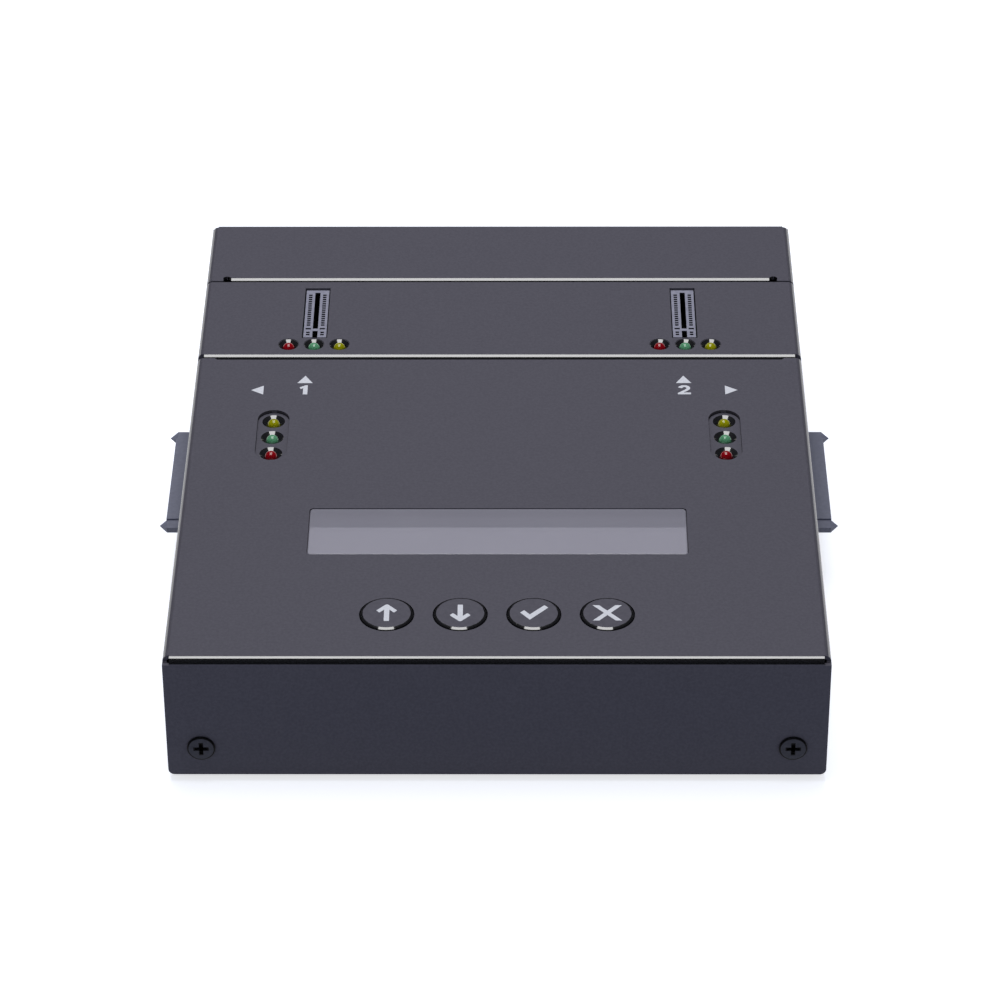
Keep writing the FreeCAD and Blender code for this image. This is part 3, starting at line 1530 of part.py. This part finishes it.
def check_and_export():
    """Refuses to write anything unless every object is sound."""
    doc.recompute()
    for item in doc.Objects:
        if "Invalid" in item.State or "Error" in item.State:
            raise RuntimeError(f"{item.Name} failed: {item.State}")
    bodies = [item for item in doc.Objects if item.TypeId == "PartDesign::Body"]
    for body in bodies:
        if body.Shape.isNull() or not body.Shape.isValid() or body.Shape.Volume <= 0:
            raise RuntimeError(f"{body.Label} has no sound shape")
    os.makedirs("parts", exist_ok=True)
    for body in bodies:
        body.Shape.exportStep(os.path.join("parts", body.Label + ".step"))
        solids = len(body.Shape.Solids)
        print(f"{body.Label}: {solids} solid(s), {body.Shape.Volume:.1f} mm3")
    print(f"{len(bodies)} nodes")


build()
check_and_export()
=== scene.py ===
"""Looks for the drive duplicator: materials, printed marks, camera, floor and studio light."""

import json
import math

import bmesh
import bpy
from mathutils import Matrix, Vector


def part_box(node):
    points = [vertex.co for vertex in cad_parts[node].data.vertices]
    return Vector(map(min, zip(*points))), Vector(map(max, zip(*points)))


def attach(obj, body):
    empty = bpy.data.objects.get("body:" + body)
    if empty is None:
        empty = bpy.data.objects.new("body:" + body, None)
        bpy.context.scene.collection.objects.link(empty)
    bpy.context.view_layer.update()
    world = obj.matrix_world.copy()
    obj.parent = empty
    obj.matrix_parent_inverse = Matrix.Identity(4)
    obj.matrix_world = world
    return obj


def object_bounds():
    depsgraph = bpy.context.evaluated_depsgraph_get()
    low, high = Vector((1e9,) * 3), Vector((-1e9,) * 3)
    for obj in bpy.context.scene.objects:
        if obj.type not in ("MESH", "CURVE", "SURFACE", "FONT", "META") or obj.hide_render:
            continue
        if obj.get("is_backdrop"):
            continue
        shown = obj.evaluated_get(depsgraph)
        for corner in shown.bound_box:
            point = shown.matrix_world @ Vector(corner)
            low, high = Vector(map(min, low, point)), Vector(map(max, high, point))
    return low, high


MM = 0.001

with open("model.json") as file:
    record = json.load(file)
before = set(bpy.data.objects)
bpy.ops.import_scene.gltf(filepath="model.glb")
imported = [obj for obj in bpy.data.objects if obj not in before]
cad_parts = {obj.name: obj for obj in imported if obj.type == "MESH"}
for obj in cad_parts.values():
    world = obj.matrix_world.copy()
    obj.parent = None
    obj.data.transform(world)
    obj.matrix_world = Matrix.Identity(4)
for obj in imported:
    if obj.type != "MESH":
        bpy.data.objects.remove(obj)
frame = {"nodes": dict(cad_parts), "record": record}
cad_box = [list(corner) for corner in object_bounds()]

cover_low, cover_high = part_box("front_cover")
front_y = cover_low[1]
foot_height = cover_low[2]
cover_top = cover_high[2]


def from_front(distance):
    """The Y of a place that lies a distance in millimetres behind the front face."""
    return front_y + distance * MM


# ---------------------------------------------------------------- materials

BUMP_DEPTH = 0.04 * MM
GLOSS_IOR = 2.2
BEND_ROUGHNESS = 0.08
# painted reflection: the near-black base colour of bends, cones and shoulders stands in for the dark
# room they reflect; on the wells' cones it is partly their own glossy black
PAINTED_REFLECTION_BLACK = (10, 10, 16)
# painted shade: black for the shadow round the screw heads, in their cross recesses and deep in the
# card slots' windows
PAINTED_SHADE_BLACK = (8, 8, 12)
# a normal's Y, from where a bend faces the front to where it doesn't; with front_only the painted dark
# reflection keeps to bends that face the front
FACES_FRONT = (-0.17, -0.02)
# a normal's Z, from where a shoulder has no gloss to where it has all of it
FACES_UP = (0.5, 0.6)
# millimetres over which the screws' painted shade fades: the gap's shadow in from the head's edge,
# then the recess's shade out from the middle of the cross, across an arm and along it
SCREW_RIM = (0.4, 0.25)
CROSS_HALF_WIDTH = (0.4, 0.6)
CROSS_REACH = (1.65, 1.85)
# millimetres below the top of a card slot: where its windows turn black with painted shade, and how
# softly
SLOT_DEPTH = 0.06
SLOT_FADE = 0.06


def linear(red, green, blue):
    """A colour from 0 to 255 as a linear node colour."""
    channels = []
    for channel in (red, green, blue):
        value = channel / 255
        channels.append(value / 12.92 if value <= 0.04045 else ((value + 0.055) / 1.055) ** 2.4)
    return (*channels, 1.0)


def link(tree, source, output, target, socket):
    tree.links.new(source.outputs[output], target.inputs[socket])


def noise_node(tree, scale, detail=4.0, roughness=0.55):
    """Noise over object coordinates, scale in cycles per metre."""
    place = tree.nodes.new("ShaderNodeTexCoord")
    noise = tree.nodes.new("ShaderNodeTexNoise")
    noise.inputs["Scale"].default_value = scale
    noise.inputs["Detail"].default_value = detail
    noise.inputs["Roughness"].default_value = roughness
    link(tree, place, "Object", noise, "Vector")
    return noise


def ramp_node(tree, source, output, stops):
    """A colour ramp of (position, colour) stops."""
    ramp = tree.nodes.new("ShaderNodeValToRGB")
    elements = ramp.color_ramp.elements
    while len(elements) < len(stops):
        elements.new(0.5)
    for element, (position, colour) in zip(elements, stops):
        element.position = position
        element.color = colour
    link(tree, source, output, ramp, "Fac")
    return ramp


def vector_math(tree, operation, source, output, other=None):
    """A vector node on one linked input, with a fixed second input if it needs one."""
    node = tree.nodes.new("ShaderNodeVectorMath")
    node.operation = operation
    link(tree, source, output, node, 0)
    if other is not None:
        node.inputs[1].default_value = other
    return node


def math_node(tree, operation, first, second):
    """A math node on two (node, output) pairs."""
    node = tree.nodes.new("ShaderNodeMath")
    node.operation = operation
    for socket, (source, output) in enumerate((first, second)):
        link(tree, source, output, node, socket)
    return node


def map_range(tree, source, output, start, end, first=0.0, last=1.0):
    """Maps start..end to first..last, clamped."""
    node = tree.nodes.new("ShaderNodeMapRange")
    values = (("From Min", start), ("From Max", end), ("To Min", first), ("To Max", last))
    for socket, value in values:
        node.inputs[socket].default_value = value
    link(tree, source, output, node, "Value")
    return node


def darken(tree, source, output, colour):
    """Mixes a colour into the shader's base colour where the source is 1."""
    base = tree.nodes["Principled BSDF"].inputs["Base Color"]
    mix = tree.nodes.new("ShaderNodeMix")
    mix.data_type = "RGBA"
    link(tree, source, output, mix, 0)
    tree.links.new(base.links[0].from_socket, mix.inputs[6])
    mix.inputs[7].default_value = colour
    tree.links.new(mix.outputs[2], base)


def grey(value):
    return (value, value, value, 1.0)


def material(name, colour, other, roughness, spread=0.06, scale=900.0, bump=0.0, bump_scale=3000.0,
             metallic=0.0, coat=0.0, coat_roughness=0.1, specular=0.5):
    """A shader with a fine variation of colour and roughness and, if asked for, a bump."""
    made = bpy.data.materials.new(name)
    made.use_nodes = True
    tree = made.node_tree
    shader = tree.nodes["Principled BSDF"]
    noise = noise_node(tree, scale)
    tint = ramp_node(tree, noise, "Fac", [(0.35, linear(*colour)), (0.65, linear(*other))])
    link(tree, tint, "Color", shader, "Base Color")
    smooth, rough = max(roughness - spread, 0.02), roughness + spread
    gloss = ramp_node(tree, noise, "Fac", [(0.3, grey(smooth)), (0.7, grey(rough))])
    link(tree, gloss, "Color", shader, "Roughness")
    shader.inputs["Metallic"].default_value = metallic
    shader.inputs["Specular IOR Level"].default_value = specular
    shader.inputs["Coat Weight"].default_value = coat
    shader.inputs["Coat Roughness"].default_value = coat_roughness
    if bump:
        grain = noise_node(tree, bump_scale, detail=3.0)
        relief = tree.nodes.new("ShaderNodeBump")
        relief.inputs["Strength"].default_value = bump
        relief.inputs["Distance"].default_value = BUMP_DEPTH
        link(tree, grain, "Fac", relief, "Height")
        link(tree, relief, "Normal", shader, "Normal")
    return made


def smoked_pane(name, colour, other, share):
    """Smoked glossy plastic that lets a share of what lies under it show."""
    made = material(name, colour, other, 0.25, spread=0.02, scale=60.0, coat=1.0, coat_roughness=0.0)
    shader = made.node_tree.nodes["Principled BSDF"]
    shader.inputs["Alpha"].default_value = 1.0 - share
    surface = made.node_tree.nodes.new("ShaderNodeNewGeometry")
    link(made.node_tree, surface, "True Normal", shader, "Coat Normal")
    return made


PAINT = dict(roughness=0.5, spread=0.04, scale=1500.0, bump=0.3, bump_scale=2200.0, specular=0.12)
BUTTON = dict(roughness=0.45, spread=0.02, specular=0.12)
LAMP = dict(spread=0.02, coat=0.5, coat_roughness=0.03)

MATERIALS = {
    "casing_paint": material("casing_paint", (80, 78, 87), (86, 84, 93), **PAINT),
    "screw_black": material("screw_black", (62, 62, 70), (70, 70, 78), 0.4, bump=0.1, specular=0.2),
    "screw_zinc": material("screw_zinc", (150, 152, 158), (178, 178, 182), 0.3, metallic=1.0),
    "foot_rubber": material("foot_rubber", (22, 22, 24), (30, 30, 32), 0.75, bump=0.5,
                            bump_scale=1500.0),
    "pane_clear": smoked_pane("pane_clear", (144, 142, 153), (146, 144, 155), 0.3),
    "display_steel": material("display_steel", (98, 96, 106), (104, 102, 112), 0.5, scale=300.0),
    "display_face": material("display_face", (100, 97, 110), (106, 103, 115), 0.08, spread=0.02,
                             scale=120.0),
    "backlight_white": material("backlight_white", (205, 208, 216), (215, 218, 225), 0.5),
    "board_laminate": material("board_laminate", (16, 62, 38), (24, 78, 48), 0.35, scale=500.0,
                               coat=0.3),
    "spacer_brass": material("spacer_brass", (176, 146, 84), (196, 168, 104), 0.3, metallic=1.0),
    "ribbon_grey": material("ribbon_grey", (140, 140, 144), (156, 156, 160), 0.55),
    "button_black": material("button_black", (80, 78, 87), (86, 84, 93), **BUTTON),
    "plunger_white": material("plunger_white", (200, 200, 196), (212, 212, 208), 0.45),
    "package_black": material("package_black", (20, 20, 22), (28, 28, 30), 0.4, bump=0.2),
    "sink_aluminium": material("sink_aluminium", (150, 152, 156), (172, 174, 178), 0.35,
                               metallic=1.0),
    "connector_grey": material("connector_grey", (104, 106, 122), (112, 114, 130), 0.4, bump=0.1),
    "slot_grey": material("slot_grey", (134, 134, 150), (144, 144, 160), 0.4, bump=0.1),
    "contact_gold": material("contact_gold", (188, 150, 84), (208, 172, 104), 0.25, metallic=1.0),
    "lamp_red": material("lamp_red", (130, 0, 12), (150, 4, 20), 0.08, **LAMP),
    "lamp_green": material("lamp_green", (84, 146, 106), (96, 158, 118), 0.1, **LAMP),
    "lamp_yellow": material("lamp_yellow", (140, 140, 0), (156, 154, 8), 0.08, **LAMP),
    "spacer_nylon": material("spacer_nylon", (214, 212, 204), (224, 222, 214), 0.5),
    "mark_white": material("mark_white", (203, 204, 211), (216, 217, 223), 0.5, scale=2500.0),
}


def gloss_and_painted_reflection_off_flat(name, slot, flat_from, front_only=False, cone=None):
    """Flat faces keep the slot's look; bends, cones and shoulders are glossy and painted near black, a
    painted dark reflection of the room (on the wells' cones partly their own glossy black).

    A face is flat where its normal lies along an axis by at least flat_from. front_only keeps the
    slot's colour on bends that don't face the front. cone, an angle in degrees, gives a rounded
    shoulder the gloss of a flat bevel, on its upper front only.
    """
    made = MATERIALS[slot].copy()
    made.name = name
    tree = made.node_tree
    shader = tree.nodes["Principled BSDF"]
    surface = tree.nodes.new("ShaderNodeNewGeometry")
    size = vector_math(tree, "ABSOLUTE", surface, "Normal")
    parts = tree.nodes.new("ShaderNodeSeparateXYZ")
    link(tree, size, "Vector", parts, "Vector")
    wider = math_node(tree, "MAXIMUM", (parts, "X"), (parts, "Y"))
    widest = math_node(tree, "MAXIMUM", (wider, "Value"), (parts, "Z"))
    bent = map_range(tree, widest, "Value", flat_from, 0.5 + flat_from / 2, 1.0, 0.0)
    toward = tree.nodes.new("ShaderNodeSeparateXYZ")
    link(tree, surface, "Normal", toward, "Vector")
    front = map_range(tree, toward, "Y", *FACES_FRONT, 1.0, 0.0)
    in_front = math_node(tree, "MULTIPLY", (bent, "Result"), (front, "Result"))
    black = (in_front, "Value") if front_only else (bent, "Result")
    glossy = (bent, "Result")
    if cone:
        upper = map_range(tree, toward, "Z", *FACES_UP)
        glossy = (math_node(tree, "MULTIPLY", (in_front, "Value"), (upper, "Result")), "Value")
    # painted dark reflection, put into the base colour of the bends
    darken(tree, *black, linear(*PAINTED_REFLECTION_BLACK))
    link(tree, *glossy, shader, "Coat Weight")
    shader.inputs["Coat Roughness"].default_value = BEND_ROUGHNESS
    shader.inputs["Coat IOR"].default_value = GLOSS_IOR
    if cone:
        slope = math.radians(cone)
        level = vector_math(tree, "MULTIPLY", surface, "Normal", (1, 1, 0))
        outward = vector_math(tree, "NORMALIZE", level, "Vector")
        leaned = vector_math(tree, "MULTIPLY", outward, "Vector", (math.sin(slope),) * 3)
        bevel = vector_math(tree, "ADD", leaned, "Vector", (0, 0, math.cos(slope)))
        link(tree, bevel, "Vector", shader, "Coat Normal")
    return made


def screw_faces(node):
    """Heads seen along Y, mirrored in X: each gets painted shade, a black rim for the shadow of the
    gap round the head and a black cross for the shade in its recess.
    """
    low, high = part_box(node)
    radius = (high[2] - low[2]) / 2
    made = MATERIALS["screw_black"].copy()
    made.name = node + "_black"
    tree = made.node_tree
    place = tree.nodes.new("ShaderNodeTexCoord")
    raised = vector_math(tree, "SUBTRACT", place, "Object", (0, 0, low[2] + radius))
    paired = vector_math(tree, "ABSOLUTE", raised, "Vector")
    centred = vector_math(tree, "SUBTRACT", paired, "Vector", (high[0] - radius, 0, 0))
    quarter = vector_math(tree, "ABSOLUTE", centred, "Vector")
    flat = vector_math(tree, "MULTIPLY", quarter, "Vector", (1, 0, 1))
    reach = vector_math(tree, "LENGTH", flat, "Vector")
    rim = map_range(tree, reach, "Value", *(radius - edge * MM for edge in SCREW_RIM))
    parts = tree.nodes.new("ShaderNodeSeparateXYZ")
    link(tree, flat, "Vector", parts, "Vector")
    bar = math_node(tree, "MINIMUM", (parts, "X"), (parts, "Z"))
    arm = math_node(tree, "MAXIMUM", (parts, "X"), (parts, "Z"))
    narrow = map_range(tree, bar, "Value", *(edge * MM for edge in CROSS_HALF_WIDTH), 1.0, 0.0)
    short = map_range(tree, arm, "Value", *(edge * MM for edge in CROSS_REACH), 1.0, 0.0)
    crossed = math_node(tree, "MULTIPLY", (narrow, "Result"), (short, "Result"))
    dark = math_node(tree, "MAXIMUM", (rim, "Result"), (crossed, "Value"))
    # painted shade: the gap's shadow round the head and the shade in the cross recess
    darken(tree, dark, "Value", linear(*PAINTED_SHADE_BLACK))
    return made


def dark_below(node, slot, depth):
    """The slot's look down to a depth in millimetres below the node's top, and black painted shade
    under that.
    """
    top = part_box(node)[1][2]
    made = MATERIALS[slot].copy()
    made.name = node + "_deep"
    tree = made.node_tree
    place = tree.nodes.new("ShaderNodeTexCoord")
    parts = tree.nodes.new("ShaderNodeSeparateXYZ")
    link(tree, place, "Object", parts, "Vector")
    deep = map_range(tree, parts, "Z", top - depth * MM, top - (depth + SLOT_FADE) * MM)
    # painted shade: black deep in the windows, where little light reaches
    darken(tree, deep, "Result", linear(*PAINTED_SHADE_BLACK))
    return made


# the wells copy the plain paint, so the casing's own bends come last
# painted dark reflection: the wells' cones (partly their own glossy black), the keys' shoulders and
# the casing's front-facing bends get a near-black base colour
MATERIALS["well_black"] = gloss_and_painted_reflection_off_flat("well_black", "casing_paint", flat_from=0.97)
MATERIALS["button_black"] = gloss_and_painted_reflection_off_flat("button_gloss_painted_reflection", "button_black", flat_from=0.985, cone=30)
MATERIALS["casing_paint"] = gloss_and_painted_reflection_off_flat(
    "casing_bends_painted_reflection", "casing_paint", flat_from=0.98, front_only=True
)


def dress_nodes():
    """Every CAD node gets its slot's material; screws and card slots get a copy with painted shade."""
    slots = {entry["node"]: entry["material_slot"] for entry in frame["record"]["subparts"]}
    slots["display_glass"] = "display_face"
    own = {name: screw_faces(name) for name in ("front_screws", "rear_screws")}
    slot_nodes = [name for name in slots if slots[name] == "slot_grey"]
    own.update({name: dark_below(name, "slot_grey", SLOT_DEPTH) for name in slot_nodes})
    for name, node in frame["nodes"].items():
        node.data.materials.clear()
        node.data.materials.append(own.get(name, MATERIALS[slots[name]]))


# ---------------------------------------------------------------- printed marks

# millimetres: the print on the cover, from the case's middle line and its front face
MARK_THICKNESS = 0.03
MARK_SHIFT = -1.2
OUTWARD_X = 58.05
UPWARD_X = 46.55
NUMERAL_LEFT_X = -47.7
NUMERAL_RIGHT_X = 45.4
TRIANGLES_FROM_FRONT = 109.2
NUMERALS_FROM_FRONT = 109.3


def flat_piece(name, outlines, x, y, z, body, made):
    """Closed outlines in millimetres about (x, y), as a thin raised print."""
    mesh = bpy.data.meshes.new(name)
    work = bmesh.new()
    for outline in outlines:
        corners = [work.verts.new((x + px * MM, y + py * MM, z)) for px, py in outline]
        face = work.faces.new(corners)
        if face.normal.z < 0:
            face.normal_flip()
    bmesh.ops.recalc_face_normals(work, faces=work.faces)
    raised = bmesh.ops.extrude_face_region(work, geom=list(work.faces))
    tops = [item for item in raised["geom"] if isinstance(item, bmesh.types.BMVert)]
    bmesh.ops.translate(work, verts=tops, vec=(0, 0, MARK_THICKNESS * MM))
    bmesh.ops.triangulate(work, faces=work.faces)
    bmesh.ops.recalc_face_normals(work, faces=work.faces)
    work.to_mesh(mesh)
    work.free()
    piece = bpy.data.objects.new(name, mesh)
    bpy.context.scene.collection.objects.link(piece)
    mesh.materials.append(MATERIALS[made])
    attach(piece, body)


def arrow(way):
    """Arrow with a shaft and a chevron head, pointing up the cover for way 1 and down for -1."""
    shape = [(-0.6, -3.0), (-0.5, -3.1), (0.5, -3.1), (0.6, -3.0), (0.6, 1.2), (1.55, 0.2),
             (1.75, 0.2), (2.3, 0.8), (2.3, 1.0), (0.35, 3.05), (0.0, 3.2), (-0.35, 3.05),
             (-2.3, 1.0), (-2.3, 0.8), (-1.75, 0.2), (-1.55, 0.2), (-0.6, 1.2)]
    return [[(x, y * way) for x, y in shape][:: 1 if way > 0 else -1]]


def cross():
    """Two crossing bars as one outline."""
    wide, tall, bar = 2.6, 2.9, 0.75
    waist = bar * tall / wide
    return [[(-wide - bar, tall), (-wide + bar, tall), (0, waist), (wide - bar, tall),
             (wide + bar, tall), (bar, 0), (wide + bar, -tall), (wide - bar, -tall), (0, -waist),
             (-wide + bar, -tall), (-wide - bar, -tall), (-bar, 0)]]


def tick():
    """Tick with square ends."""
    return [[(-3.1, 0.1), (-2.2, 1.0), (-0.9, -0.6), (2.4, 2.9), (3.3, 2.0), (-0.9, -2.6)]]


def triangles(side):
    """A triangle that points out to the drive socket, and one that points up to the card slot."""
    out_x = side * OUTWARD_X + MARK_SHIFT
    outward = [(out_x - 1.45 * side, 1.95), (out_x - 1.45 * side, -1.95), (out_x + 1.6 * side, 0.0)]
    up_x = side * UPWARD_X + MARK_SHIFT
    upward = [(up_x - 1.9, 3.1), (up_x + 1.9, 3.1), (up_x, 6.4)]
    return [outward, upward]


def numeral_one():
    return [[(-1.3, 1.1), (0.1, 2.0), (0.7, 2.0), (0.7, -2.0), (-0.4, -2.0), (-0.4, 0.8), (-1.0, 0.4)]]


def numeral_two():
    return [[(-1.5, 1.0), (-1.2, 1.6), (-0.5, 2.0), (0.5, 2.0), (1.2, 1.6), (1.5, 1.0), (1.4, 0.3),
             (0.9, -0.3), (-0.2, -1.2), (1.6, -1.2), (1.6, -2.0), (-1.6, -2.0), (-1.6, -1.4),
             (0.2, 0.1), (0.6, 0.6), (0.5, 1.0), (0.1, 1.25), (-0.3, 1.1), (-0.5, 0.7)]]


def add_marks():
    """Icons on the buttons; triangles and plain numerals between the card slots and the lamps."""
    icons = {"up": arrow(1), "down": arrow(-1), "confirm": tick(), "cancel": cross()}
    for name, outlines in icons.items():
        low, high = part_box("button_" + name)
        flat_piece("icon_" + name, outlines, (low[0] + high[0]) / 2, (low[1] + high[1]) / 2,
                   high[2], "key_" + name, "mark_white")
    triangles_y, numerals_y = from_front(TRIANGLES_FROM_FRONT), from_front(NUMERALS_FROM_FRONT)
    for side, name in ((-1, "left"), (1, "right")):
        flat_piece("mark_triangles_" + name, triangles(side), 0, triangles_y, cover_top, "case",
                   "mark_white")
    flat_piece("mark_numeral_left", numeral_one(), NUMERAL_LEFT_X * MM, numerals_y, cover_top,
               "case", "mark_white")
    flat_piece("mark_numeral_right", numeral_two(), NUMERAL_RIGHT_X * MM, numerals_y, cover_top,
               "case", "mark_white")


# ---------------------------------------------------------------- studio

TOP_BOX = 4.0
TOP_BOX_SIZE = (0.55, 1.1)
TOP_BOX_PLACE = (-0.055, 0.3, 1.0)
REAR_BOX = 1.5
REAR_BOX_SIZE = (0.5, 0.12)
REAR_BOX_DISTANCE = 1.8
REAR_BOX_COLOUR = (0.97, 0.95, 1.1)
EDGE_BEHIND_MIDDLE = 1.5 * MM
WORLD_FILL = 0.36
FILL_COLOUR = (0.92, 0.98, 1.12, 1.0)
FLOOR_COLOUR = (0.7, 0.74, 0.84, 1.0)
FLOOR_GLOW = 0.68
WALL_GLOSS = 0.8
ROOM_GLOSS = 0.03
# the Z of a reflected direction, from where it sees the wall to where it sees the dark room
WALL_TOP = (0.08, 0.16)
FLOOR_REACH = 6.0
FLAG_Y = -0.6
FLAG_GAP = 0.01
FLAG_REACH = 2.5
FLAG_HEIGHT = 1.9


def stage_plane(name, corners, made):
    """One rectangle that belongs to the stage and not to the part."""
    mesh = bpy.data.meshes.new(name)
    mesh.from_pydata(corners, [], [(0, 1, 2, 3)])
    plane = bpy.data.objects.new(name, mesh)
    bpy.context.scene.collection.objects.link(plane)
    mesh.materials.append(made)
    plane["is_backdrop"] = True
    return plane


def choose(tree, rays, plain, other):
    """The other shader for the rays named, such as Is Camera Ray, and the plain one elsewhere."""
    path = tree.nodes.new("ShaderNodeLightPath")
    mix = tree.nodes.new("ShaderNodeMixShader")
    link(tree, path, rays, mix, "Fac")
    tree.links.new(plain, mix.inputs[1])
    tree.links.new(other, mix.inputs[2])
    return mix.outputs["Shader"]


def emission(tree, colour, strength):
    node = tree.nodes.new("ShaderNodeEmission")
    node.inputs["Color"].default_value = colour
    node.inputs["Strength"].default_value = strength
    return node


def make_floor():
    """Pale floor with the part's shadow: white in reflections, and clear from below."""
    made = bpy.data.materials.new("floor_white")
    made.use_nodes = True
    tree = made.node_tree
    tree.nodes.remove(tree.nodes["Principled BSDF"])
    diffuse = tree.nodes.new("ShaderNodeBsdfDiffuse")
    diffuse.inputs["Color"].default_value = FLOOR_COLOUR
    both = tree.nodes.new("ShaderNodeAddShader")
    link(tree, diffuse, "BSDF", both, 0)
    link(tree, emission(tree, grey(1.0), FLOOR_GLOW), "Emission", both, 1)
    pale = emission(tree, grey(1.0), WALL_GLOSS)
    seen = choose(tree, "Is Glossy Ray", diffuse.outputs["BSDF"], pale.outputs["Emission"])
    seen = choose(tree, "Is Camera Ray", seen, both.outputs["Shader"])
    side = tree.nodes.new("ShaderNodeNewGeometry")
    clear = tree.nodes.new("ShaderNodeBsdfTransparent")
    sided = tree.nodes.new("ShaderNodeMixShader")
    link(tree, side, "Backfacing", sided, "Fac")
    tree.links.new(seen, sided.inputs[1])
    link(tree, clear, "BSDF", sided, 2)
    link(tree, sided, "Shader", tree.nodes["Material Output"], "Surface")
    reach = FLOOR_REACH
    corners = [(-reach, -reach, 0), (reach, -reach, 0), (reach, reach, 0), (-reach, reach, 0)]
    stage_plane("floor", corners, made)


def make_world():
    """Cool fill light, white behind the part; reflections see a low white wall in a dark room."""
    world = bpy.data.worlds.new("studio")
    bpy.context.scene.world = world
    world.use_nodes = True
    tree = world.node_tree
    fill = tree.nodes["Background"]
    fill.inputs["Color"].default_value = FILL_COLOUR
    fill.inputs["Strength"].default_value = WORLD_FILL
    white = tree.nodes.new("ShaderNodeBackground")
    white.inputs["Color"].default_value = grey(1.0)
    wall = tree.nodes.new("ShaderNodeBackground")
    wall.inputs["Color"].default_value = grey(1.0)
    place = tree.nodes.new("ShaderNodeTexCoord")
    parts = tree.nodes.new("ShaderNodeSeparateXYZ")
    link(tree, place, "Generated", parts, "Vector")
    height = map_range(tree, parts, "Z", *WALL_TOP, WALL_GLOSS, ROOM_GLOSS)
    link(tree, height, "Result", wall, "Strength")
    seen = choose(tree, "Is Glossy Ray", fill.outputs["Background"], wall.outputs["Background"])
    seen = choose(tree, "Is Camera Ray", seen, white.outputs["Background"])
    tree.links.new(seen, tree.nodes["World Output"].inputs["Surface"])


def make_dark_flags():
    """Black cloth in front of the part, lying and standing, seen by reflections only."""
    made = bpy.data.materials.new("flag_black")
    made.use_nodes = True
    tree = made.node_tree
    shader = tree.nodes["Principled BSDF"]
    weave = noise_node(tree, 40.0)
    tint = ramp_node(tree, weave, "Fac", [(0.3, grey(0.01)), (0.7, grey(0.02))])
    link(tree, tint, "Color", shader, "Base Color")
    shader.inputs["Roughness"].default_value = 0.9
    near, far, wide, tall = front_y - FLAG_GAP, FLAG_Y, FLAG_REACH, FLAG_HEIGHT
    standing = [(-wide, far, 0.0), (wide, far, 0.0), (wide, far, tall), (-wide, far, tall)]
    lying = [(-wide, far, MM), (wide, far, MM), (wide, near, MM), (-wide, near, MM)]
    for name, corners in (("flag_standing", standing), ("flag_lying", lying)):
        flag = stage_plane(name, corners, made)
        flag.visible_camera = False
        flag.visible_diffuse = False
        flag.visible_transmission = False
        flag.visible_shadow = False


def area_light(name, place, target, width, depth, radiance, colour=(1, 1, 1)):
    """A rectangular lamp at a place, turned to its target, as bright as its radiance says."""
    lamp = bpy.data.lights.new(name, "AREA")
    lamp.shape = "RECTANGLE"
    lamp.size = width
    lamp.size_y = depth
    lamp.color = colour
    lamp.energy = radiance * math.pi * width * depth
    light = bpy.data.objects.new(name, lamp)
    bpy.context.scene.collection.objects.link(light)
    light.location = place
    light.rotation_euler = (Vector(target) - Vector(place)).to_track_quat("-Z", "Y").to_euler()


def make_lights():
    """A long soft box overhead, and a dim one whose lower edge shows across the window."""
    below = (*TOP_BOX_PLACE[:2], 0.0)
    area_light("top_box", TOP_BOX_PLACE, below, *TOP_BOX_SIZE, TOP_BOX)
    low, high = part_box("display_lens")
    across = Vector((0.0, (low[1] + high[1]) / 2 + EDGE_BEHIND_MIDDLE, high[2]))
    ray = ((across - camera_place()) * Vector((0, 1, -1))).normalized()
    rise = Vector((0.0, -ray.z, ray.y))
    middle = across + ray * REAR_BOX_DISTANCE + rise * REAR_BOX_SIZE[1] / 2
    area_light("rear_box", middle, middle - ray, *REAR_BOX_SIZE, REAR_BOX, REAR_BOX_COLOUR)


# fitted to the case's edges in the photograph: millimetres, degrees and millimetres of lens
CAMERA_X = 6.4
CAMERA_BEFORE_FRONT = 735.3
CAMERA_ABOVE_CASE = 592.1
CAMERA_PITCH, CAMERA_YAW, CAMERA_ROLL = 35.04, -0.427, -0.248
CAMERA_LENS = 148.62


def camera_place():
    """The camera's place, from the lower edge of the case's front."""
    y, z = front_y - CAMERA_BEFORE_FRONT * MM, foot_height + CAMERA_ABOVE_CASE * MM
    return Vector((CAMERA_X * MM, y, z))


def make_camera():
    """The photograph's view: long lens, 35 degrees above the horizon."""
    angles = (CAMERA_PITCH, CAMERA_YAW, CAMERA_ROLL)
    pitch, yaw, roll = (math.radians(angle) for angle in angles)
    level = math.cos(pitch)
    forward = Vector((math.sin(yaw) * level, math.cos(yaw) * level, -math.sin(pitch)))
    right = Vector((math.cos(yaw), -math.sin(yaw), 0.0))
    up = right.cross(forward)
    right, up = (
        right * math.cos(roll) + up * math.sin(roll),
        -right * math.sin(roll) + up * math.cos(roll),
    )
    data = bpy.data.cameras.new("camera")
    data.sensor_width = 36.0
    data.lens = CAMERA_LENS
    data.clip_start = 0.01
    data.clip_end = 50.0
    camera = bpy.data.objects.new("camera", data)
    bpy.context.scene.collection.objects.link(camera)
    place = Matrix((right, up, -forward)).transposed().to_4x4()
    place.translation = camera_place()
    camera.matrix_world = place
    bpy.context.scene.camera = camera


dress_nodes()
add_marks()
make_floor()
make_world()
make_dark_flags()
make_lights()
make_camera()

view = bpy.context.scene.view_settings
view.view_transform = "Standard"

sizes = {"cad_box": cad_box, "visual_box": [list(corner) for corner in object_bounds()]}
sizes = {name: [[float(v) for v in corner] for corner in corners] for name, corners in sizes.items()}
